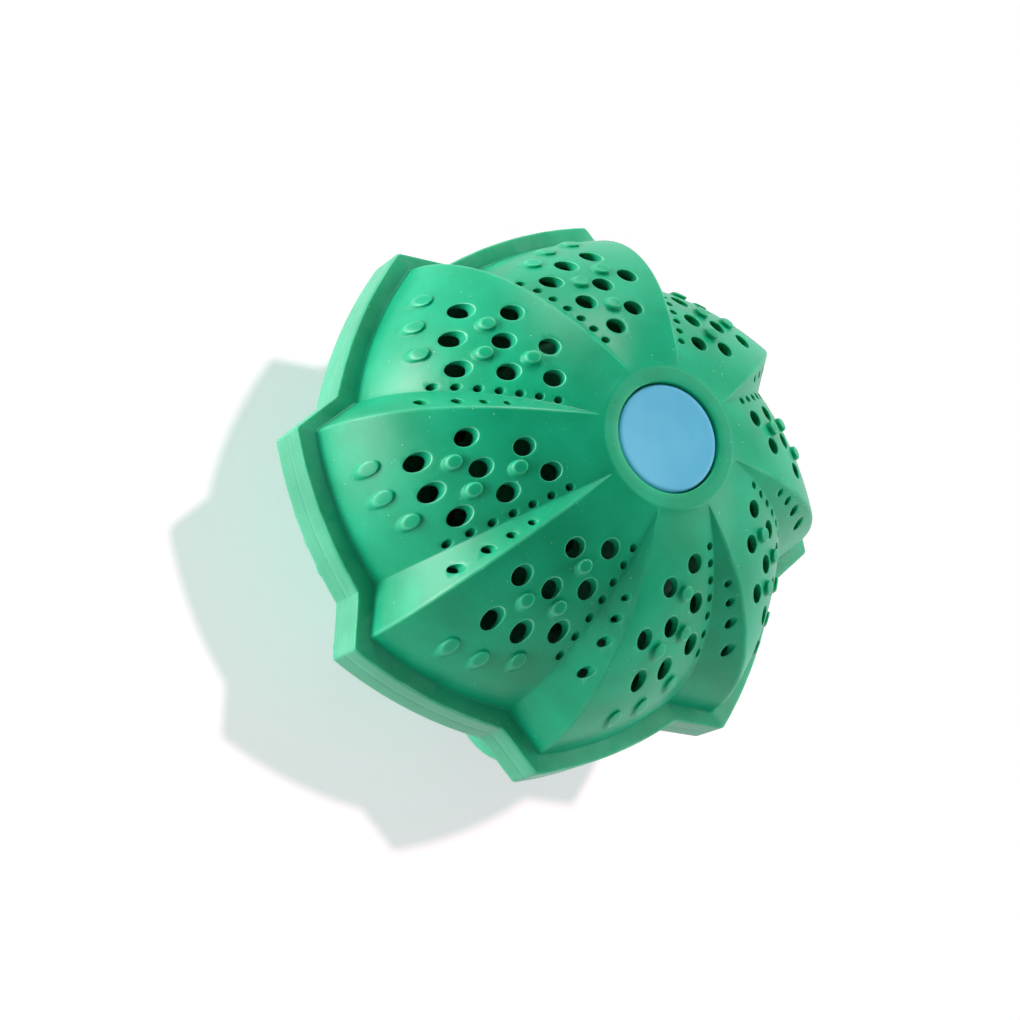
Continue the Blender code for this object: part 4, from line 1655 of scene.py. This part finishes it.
@dataclass(frozen=True)
class RubberFinish:
    """Satin green rubber with a cloudy mottle, pale edges that are partly scuffing and partly painted
    highlight, painted sheen on the flange's side wall, specks and moulding streaks.
    """

    name: str = "green rubber"
    body: Colour = (0.003, 0.445, 0.228)
    deep: Colour = (0.001, 0.350, 0.168)
    cloud_ends: tuple[float, float] = (0.35, 0.65)
    # Pale colour laid on the edge marks, partly scuffing and partly painted highlight; the pale mould streaks
    # take it too
    worn: Colour = (0.300, 0.800, 0.580)
    worn_share: float = 0.6
    streak_share: float = 0.06
    dust: Colour = (0.450, 0.780, 0.640)
    speck_share: float = 0.6
    powder_share: float = 0.35
    # Painted sheen: a paler, greyer tint laid in patches over the flange's whole side wall
    painted_side_sheen: Colour = (0.300, 0.440, 0.360)
    painted_side_sheen_shares: tuple[float, float] = (0.13, 0.25)
    roughness: float = 0.36
    rough_spread: float = 0.05
    specular: float = 0.30
    sheen: float = 0.03
    sheen_roughness: float = 0.4
    glow: float = 0.5
    glow_depth: Colour = (0.10, 1.0, 0.55)
    glow_scale: float = 2.2 * MM
    grain_height: float = 0.35
    cloud_height: float = 1.2
    streak_height: float = 0.08
    relief: tuple[float, float] = (0.35, 0.03 * MM)
    side_top: float = 4.35 * MM
    side_reach: float = 46.0 * MM
    streak_scale: tuple[float, float, float] = (26.0, 26.0, 1500.0)
    streak_ends: tuple[float, float] = (0.60, 0.72)

    def material(self, shared: SharedEffects) -> bpy.types.Material:
        """Make the material.

        Args:
            shared: The node groups that the finishes share.

        Returns:
            The material.
        """
        made, desk, shader = begin_material(self.name)
        grain = desk.group(shared.grain)
        mottle = grain.outputs["Mottle"]
        specks = desk.group(shared.specks, {"Share": 0.16}).outputs["Mask"]
        powder = desk.group(shared.specks, {"Scale": 1500.0, "Size": 0.13, "Share": 0.10}).outputs["Mask"]
        edge = desk.add("ShaderNodeAttribute", attribute_name="edge").outputs["Fac"]
        # Edge marks broken into patches: partly scuffing, partly painted highlight
        wear_and_highlight = desk.group(shared.wear_and_highlight, {"Edge": edge}).outputs["Mask"]
        streak, pale_streak, side_wall = self._streaks(desk)
        # How much painted sheen each patch of the side wall gets
        painted_side_sheen_mix = desk.span(mottle, *MOTTLE_ENDS, *self.painted_side_sheen_shares)
        colour = desk.mottled(mottle, self.deep, self.body, self.cloud_ends)
        for paint, mask, share in ((self.painted_side_sheen, side_wall, painted_side_sheen_mix), (self.worn, wear_and_highlight, self.worn_share),
                                   (self.worn, pale_streak, self.streak_share),
                                   (self.dust, specks, self.speck_share),
                                   (self.dust, powder, self.powder_share)):
            colour = desk.cover(colour, paint, mask, share)
        height = desk.math("MULTIPLY", grain.outputs["Grain"], self.grain_height)
        for part, much in ((mottle, self.cloud_height), (streak, self.streak_height)):
            height = desk.math("ADD", height, desk.math("MULTIPLY", part, much))
        desk.feed(shader, {"Base Color": colour,
                           "Roughness": desk.varied(mottle, self.roughness, self.rough_spread),
                           "Normal": desk.bump(height, *self.relief),
                           "Specular IOR Level": self.specular,
                           "Sheen Weight": self.sheen,
                           "Sheen Roughness": self.sheen_roughness,
                           "Subsurface Weight": self.glow,
                           "Subsurface Radius": self.glow_depth,
                           "Subsurface Scale": self.glow_scale})
        return made

    def _streaks(self, desk: Desk) -> tuple[bpy.types.NodeSocket, bpy.types.NodeSocket, bpy.types.NodeSocket]:
        """Give the fine lines that the mould leaves round the flange's side wall.

        Args:
            desk: The material's desk.

        Returns:
            The lines' relief, the mask of the pale ones and the mask of the side wall.
        """
        place = desk.place()
        stretched = desk.add("ShaderNodeMapping", {"Vector": place, "Scale": self.streak_scale}).outputs[0]
        feeds = {"Vector": stretched, "Scale": 1.0, "Detail": 2.0}
        lines = desk.add("ShaderNodeTexNoise", feeds).outputs["Fac"]
        parts = desk.add("ShaderNodeSeparateXYZ", {0: place}).outputs
        height = desk.math("ABSOLUTE", parts["Z"])
        reach = desk.math("SQRT", desk.math("ADD", desk.math("POWER", parts["X"], 2.0),
                                            desk.math("POWER", parts["Y"], 2.0)))
        side_wall = desk.math("MULTIPLY", desk.math("LESS_THAN", height, self.side_top),
                              desk.math("GREATER_THAN", reach, self.side_reach))
        pale = desk.math("MULTIPLY", desk.span(lines, *self.streak_ends), side_wall)
        return desk.math("MULTIPLY", lines, side_wall), pale, side_wall


@dataclass(frozen=True)
class PlasticFinish:
    """Moulded plastic with a fine grain, a slight mottle, specks and paler edges."""

    name: str
    body: Colour
    shade: Colour
    edge: Colour
    roughness: float = 0.36
    rough_spread: float = 0.04
    specular: float = 0.5
    edge_share: float = 0.5
    edge_ends: tuple[float, float] = (0.52, 0.60)
    speck_share: float = 0.3
    relief: tuple[float, float] = (0.25, 0.02 * MM)

    def material(self, shared: SharedEffects) -> bpy.types.Material:
        """Make the material.

        Args:
            shared: The node groups that the finishes share.

        Returns:
            The material.
        """
        made, desk, shader = begin_material(self.name)
        grain = desk.group(shared.grain)
        mottle = grain.outputs["Mottle"]
        specks = desk.group(shared.specks).outputs["Mask"]
        edges = desk.span(desk.add("ShaderNodeNewGeometry").outputs["Pointiness"], *self.edge_ends)
        wear_and_highlight = desk.group(shared.wear_and_highlight, {"Edge": edges}).outputs["Mask"]
        colour = desk.mottled(mottle, self.shade, self.body)
        colour = desk.cover(colour, self.edge, wear_and_highlight, self.edge_share)
        colour = desk.cover(colour, self.edge, specks, self.speck_share)
        height = desk.math("ADD", grain.outputs["Grain"], mottle)
        desk.feed(shader, {"Base Color": colour,
                           "Roughness": desk.varied(mottle, self.roughness, self.rough_spread),
                           "Normal": desk.bump(height, *self.relief),
                           "Specular IOR Level": self.specular})
        return made


@dataclass(frozen=True)
class NickelFinish:
    """Bright nickel plating with faint turning lines."""

    name: str = "nickel plate"
    bright: Colour = (0.60, 0.59, 0.57)
    dull: Colour = (0.42, 0.41, 0.40)
    roughness: float = 0.28
    line_roughness: float = 0.08
    relief: tuple[float, float] = (0.2, 0.01 * MM)

    def material(self, shared: SharedEffects) -> bpy.types.Material:
        """Make the material.

        Args:
            shared: The node groups that the finishes share.

        Returns:
            The material.
        """
        made, desk, shader = begin_material(self.name)
        mottle = desk.group(shared.grain).outputs["Mottle"]
        waves = {"Vector": desk.place(), "Scale": 900.0, "Distortion": 0.6, "Detail": 2.0}
        lines = desk.add("ShaderNodeTexWave", waves, wave_type="RINGS", rings_direction="Z").outputs["Fac"]
        rough = desk.math("ADD", desk.math("MULTIPLY", lines, self.line_roughness), self.roughness)
        desk.feed(shader, {"Base Color": desk.mottled(mottle, self.dull, self.bright),
                           "Roughness": rough,
                           "Normal": desk.bump(lines, *self.relief),
                           "Metallic": 1.0})
        return made


@dataclass(frozen=True)
class CeramicFinish:
    """Unglazed fired clay with a speckled body and fine pits."""

    name: str
    body: Colour
    dark: Colour
    fleck: Colour
    fleck_share: float = 0.5
    roughness: float = 0.72
    relief: tuple[float, float] = (0.5, 0.05 * MM)

    def material(self, shared: SharedEffects) -> bpy.types.Material:
        """Make the material.

        Args:
            shared: The node groups that the finishes share.

        Returns:
            The material.
        """
        made, desk, shader = begin_material(self.name)
        grain = desk.group(shared.grain, {"Cloud Scale": 420.0, "Grain Scale": 3200.0})
        flecks = desk.group(shared.specks, {"Scale": 1500.0, "Size": 0.3, "Share": 0.16}).outputs["Mask"]
        pits = desk.group(shared.specks, {"Scale": 900.0, "Size": 0.2, "Share": 0.3}).outputs["Mask"]
        colour = desk.mottled(grain.outputs["Mottle"], self.dark, self.body)
        height = desk.math("SUBTRACT", grain.outputs["Grain"], pits)
        desk.feed(shader, {"Base Color": desk.cover(colour, self.fleck, flecks, self.fleck_share),
                           "Normal": desk.bump(height, *self.relief),
                           "Roughness": self.roughness})
        return made


BEAD_FINISHES = {
    BeadKind.WHITE: CeramicFinish("white ceramic", body=(0.80, 0.78, 0.73), dark=(0.70, 0.68, 0.62),
                                  fleck=(0.55, 0.52, 0.46)),
    BeadKind.TAN: CeramicFinish("tan ceramic", body=(0.58, 0.41, 0.25), dark=(0.47, 0.32, 0.19),
                                fleck=(0.75, 0.62, 0.44)),
    BeadKind.GREY: CeramicFinish("grey ceramic", body=(0.27, 0.28, 0.29), dark=(0.20, 0.21, 0.22),
                                 fleck=(0.46, 0.47, 0.48)),
    BeadKind.RUST: CeramicFinish("rust ceramic", body=(0.39, 0.145, 0.082), dark=(0.30, 0.105, 0.06),
                                 fleck=(0.56, 0.28, 0.18)),
}
CAP_BLUE = PlasticFinish("blue cap plastic", body=(0.115, 0.520, 0.750), shade=(0.070, 0.430, 0.670),
                         edge=(0.240, 0.620, 0.820), roughness=0.33)
# Painted light: the core is a lighter green than a dark plastic would be, standing in for light that reaches
# the hollows behind the holes
CORE_GREEN = PlasticFinish("dark core plastic", body=(0.006, 0.280, 0.120), shade=(0.005, 0.230, 0.095),
                           edge=(0.030, 0.360, 0.190), roughness=0.45)
CROSS_GREEN = PlasticFinish("dark divider plastic", body=(0.012, 0.210, 0.100), shade=(0.010, 0.170, 0.080),
                            edge=(0.035, 0.290, 0.160), roughness=0.45)


# Studio
@dataclass(frozen=True)
class Lamp:
    """A square lamp that faces the ball, with its direction seen from the camera."""

    name: str
    toward: Direction
    power: float
    size: float = 0.5
    distance: float = 1.0


@dataclass
class Studio:
    """A plain pale floor, soft light and the photograph's camera.

    The surround lights the ball softly, from its first level on the side away from
    surround_toward to its second on that side.
    """

    floor_height: float = -43.75 * MM
    floor_drop: float = 0.02 * MM
    floor_size: float = 3.0
    floor_roughness: float = 0.9
    lens: float = 98.05
    sensor: float = 36.0
    clip: tuple[float, float] = (0.01, 20.0)
    eye: Direction = (0.03867, 0.26185, 0.43458)
    right: Direction = (-0.5648, -0.6917, 0.4502)
    up: Direction = (0.8223, -0.5186, 0.2345)
    forward: Direction = (-0.0713, -0.5026, -0.8616)
    lamps: tuple[Lamp, ...] = (
        Lamp("left", (-0.98, 0.0, 0.2), 6.0),
        Lamp("upper left", (-0.91, 0.41, 0.03), 6.2, 0.28),
        Lamp("low left", (-0.95, 0.0, -0.3), 2.6),
        Lamp("top", (0.0, 0.98, 0.2), 6.0),
        Lamp("upper right", (0.85, 0.49, 0.2), 2.4),
        Lamp("right", (0.98, 0.0, 0.2), 3.4),
        Lamp("low right", (0.83, -0.48, -0.3), 0.4),
    )
    surround: tuple[float, float] = (0.10, 0.66)
    surround_toward: Direction = (-0.10, -0.95, 0.0)
    overhead: float = 0.05
    overhead_ends: tuple[float, float] = (-0.05, 0.4)
    sun_toward: Direction = (0.545, 0.368, 0.753)
    sun_angle: float = 0.06
    sun_strength: float = 1.5
    floor_glow: Colour = (0.42, 0.52, 0.51)
    floor_albedo: Colour = (0.95, 0.62, 0.70)
    floor_bounce: Colour = (0.60, 0.60, 0.60)

    def to_world(self, x: float, y: float, z: float) -> Vector:
        """Turn a direction in the picture, with z toward the eye, into the ball's frame."""
        return Vector(self.right) * x + Vector(self.up) * y - Vector(self.forward) * z

    def build_camera(self) -> bpy.types.Object:
        """Place the camera as the photograph was taken.

        Returns:
            The camera.
        """
        data = bpy.data.cameras.new("camera")
        data.lens = self.lens
        data.sensor_width = self.sensor
        data.clip_start, data.clip_end = self.clip
        camera = bpy.data.objects.new("camera", data)
        bpy.context.scene.collection.objects.link(camera)
        turn = Matrix((self.right, self.up, -Vector(self.forward))).transposed().to_4x4()
        camera.matrix_world = Matrix.Translation(Vector(self.eye)) @ turn
        bpy.context.scene.camera = camera
        return camera

    def build_floor(self) -> bpy.types.Object:
        """Lay the pale floor under the lower pole ring.

        Returns:
            The floor.
        """
        bm = bmesh.new()
        bmesh.ops.create_grid(bm, x_segments=1, y_segments=1, size=self.floor_size)
        bmesh.ops.translate(bm, verts=bm.verts, vec=(0.0, 0.0, self.floor_height - self.floor_drop))
        floor = add_object("floor", mesh_from(bm, "floor"))
        floor.data.materials.append(self._floor_material())
        floor.visible_shadow = False
        return floor

    def _floor_material(self) -> bpy.types.Material:
        """Make the floor's pale finish, which shows white in the picture outside the shadow.

        Returns:
            The floor's material.
        """
        made, desk, shader = begin_material("pale floor")
        path = desk.add("ShaderNodeLightPath")
        seen = path.outputs["Is Camera Ray"]
        mirror = desk.math("MAXIMUM", path.outputs["Is Glossy Ray"], path.outputs["Is Transmission Ray"])
        colour = desk.blend(seen, (*self.floor_bounce, 1.0), (*self.floor_albedo, 1.0))
        desk.feed(shader, {"Base Color": colour,
                           "Roughness": self.floor_roughness,
                           "Specular IOR Level": 0.0,
                           "Emission Strength": desk.math("MAXIMUM", seen, mirror),
                           "Emission Color": (*self.floor_glow, 1.0)})
        return made

    @staticmethod
    def _only(floor: bpy.types.Object, state: str) -> bpy.types.Collection:
        """Give a light linking collection that takes in, or leaves out, the floor.

        Args:
            floor: The floor.
            state: EXCLUDE to leave it out, INCLUDE to take in nothing else.

        Returns:
            The collection.
        """
        made = bpy.data.collections.new(f"floor {state.lower()}")
        made.objects.link(floor)
        made.collection_objects[0].light_linking.link_state = state
        return made

    def _hang(self, data: bpy.types.Light, toward: Direction, distance: float,
              lit: bpy.types.Collection) -> None:
        """Hang a lamp that faces the ball.

        Args:
            data: The lamp.
            toward: Its direction from the ball, seen from the camera.
            distance: How far off it hangs.
            lit: The light linking collection that says what it lights.
        """
        hung = bpy.data.objects.new(data.name, data)
        bpy.context.scene.collection.objects.link(hung)
        outward = self.to_world(*toward).normalized()
        turn = outward.to_track_quat("Z", "Y").to_matrix().to_4x4()
        hung.matrix_world = Matrix.Translation(outward * distance) @ turn
        hung.light_linking.receiver_collection = lit

    def build_light(self, floor: bpy.types.Object) -> None:
        """Hang the lamps and set the pale surround.

        Args:
            floor: The floor, which only the lamp for the shadow lights.
        """
        ball_only = self._only(floor, "EXCLUDE")
        for lamp in self.lamps:
            data = bpy.data.lights.new(lamp.name, "AREA")
            data.shape = "SQUARE"
            data.size = lamp.size
            data.energy = lamp.power
            self._hang(data, lamp.toward, lamp.distance, ball_only)
        sun = bpy.data.lights.new("floor light", "SUN")
        sun.angle = self.sun_angle
        sun.energy = self.sun_strength
        self._hang(sun, self.sun_toward, 1.0, self._only(floor, "INCLUDE"))
        self._build_surround()

    def _build_surround(self) -> None:
        """Make the world: white to the eye, pale in gloss but less so overhead, and dim as a light."""
        world = bpy.data.worlds.new("studio")
        bpy.context.scene.world = world
        world.use_nodes = True
        desk = Desk(world.node_tree)
        path = desk.add("ShaderNodeLightPath")
        direction = desk.add("ShaderNodeTexCoord").outputs["Generated"]
        up = desk.add("ShaderNodeSeparateXYZ", {0: direction}).outputs["Z"]
        around = desk.span(up, *self.overhead_ends, 1.0, self.overhead)
        gloss = desk.math("MULTIPLY", path.outputs["Is Glossy Ray"], around)
        palest = self.to_world(*self.surround_toward).normalized()
        facing = desk.add("ShaderNodeVectorMath", {0: direction, 1: palest}, operation="DOT_PRODUCT")
        pale = desk.span(facing.outputs["Value"], -1.0, 1.0, *self.surround)
        light = desk.math("MULTIPLY", path.outputs["Is Diffuse Ray"], pale)
        seen = desk.math("MAXIMUM", path.outputs["Is Camera Ray"], path.outputs["Is Transmission Ray"])
        desk.feed(world.node_tree.nodes["Background"], {
            "Color": (1.0, 1.0, 1.0, 1.0),
            "Strength": desk.math("MAXIMUM", seen, desk.math("MAXIMUM", gloss, light))})


def build_ball(shared: SharedEffects) -> None:
    """Build every piece of the ball with its finish.

    Args:
        shared: The node groups that the finishes share.
    """
    rubber = RubberFinish().material(shared)
    shell = PetalShell()
    upper = shell.mesh()
    fitting = PoleFitting()
    blue = CAP_BLUE.material(shared)
    nickel = NickelFinish().material(shared)
    for pole in Pole:
        shell.build(pole, upper, rubber)
        fitting.build(pole, blue, nickel)
    BeadCore().build(CORE_GREEN.material(shared), CROSS_GREEN.material(shared))
    for kind in BeadKind:
        BeadCharge(kind).build(BEAD_FINISHES[kind].material(shared))


def main() -> None:
    """Build the dressed ball and its studio."""
    logging.basicConfig(level=logging.INFO, format="%(message)s")
    build_ball(SharedEffects())
    studio = Studio()
    studio.build_camera()
    studio.build_light(studio.build_floor())
    bpy.context.scene.view_settings.view_transform = "Standard"


if __name__ == "__main__":
    main()
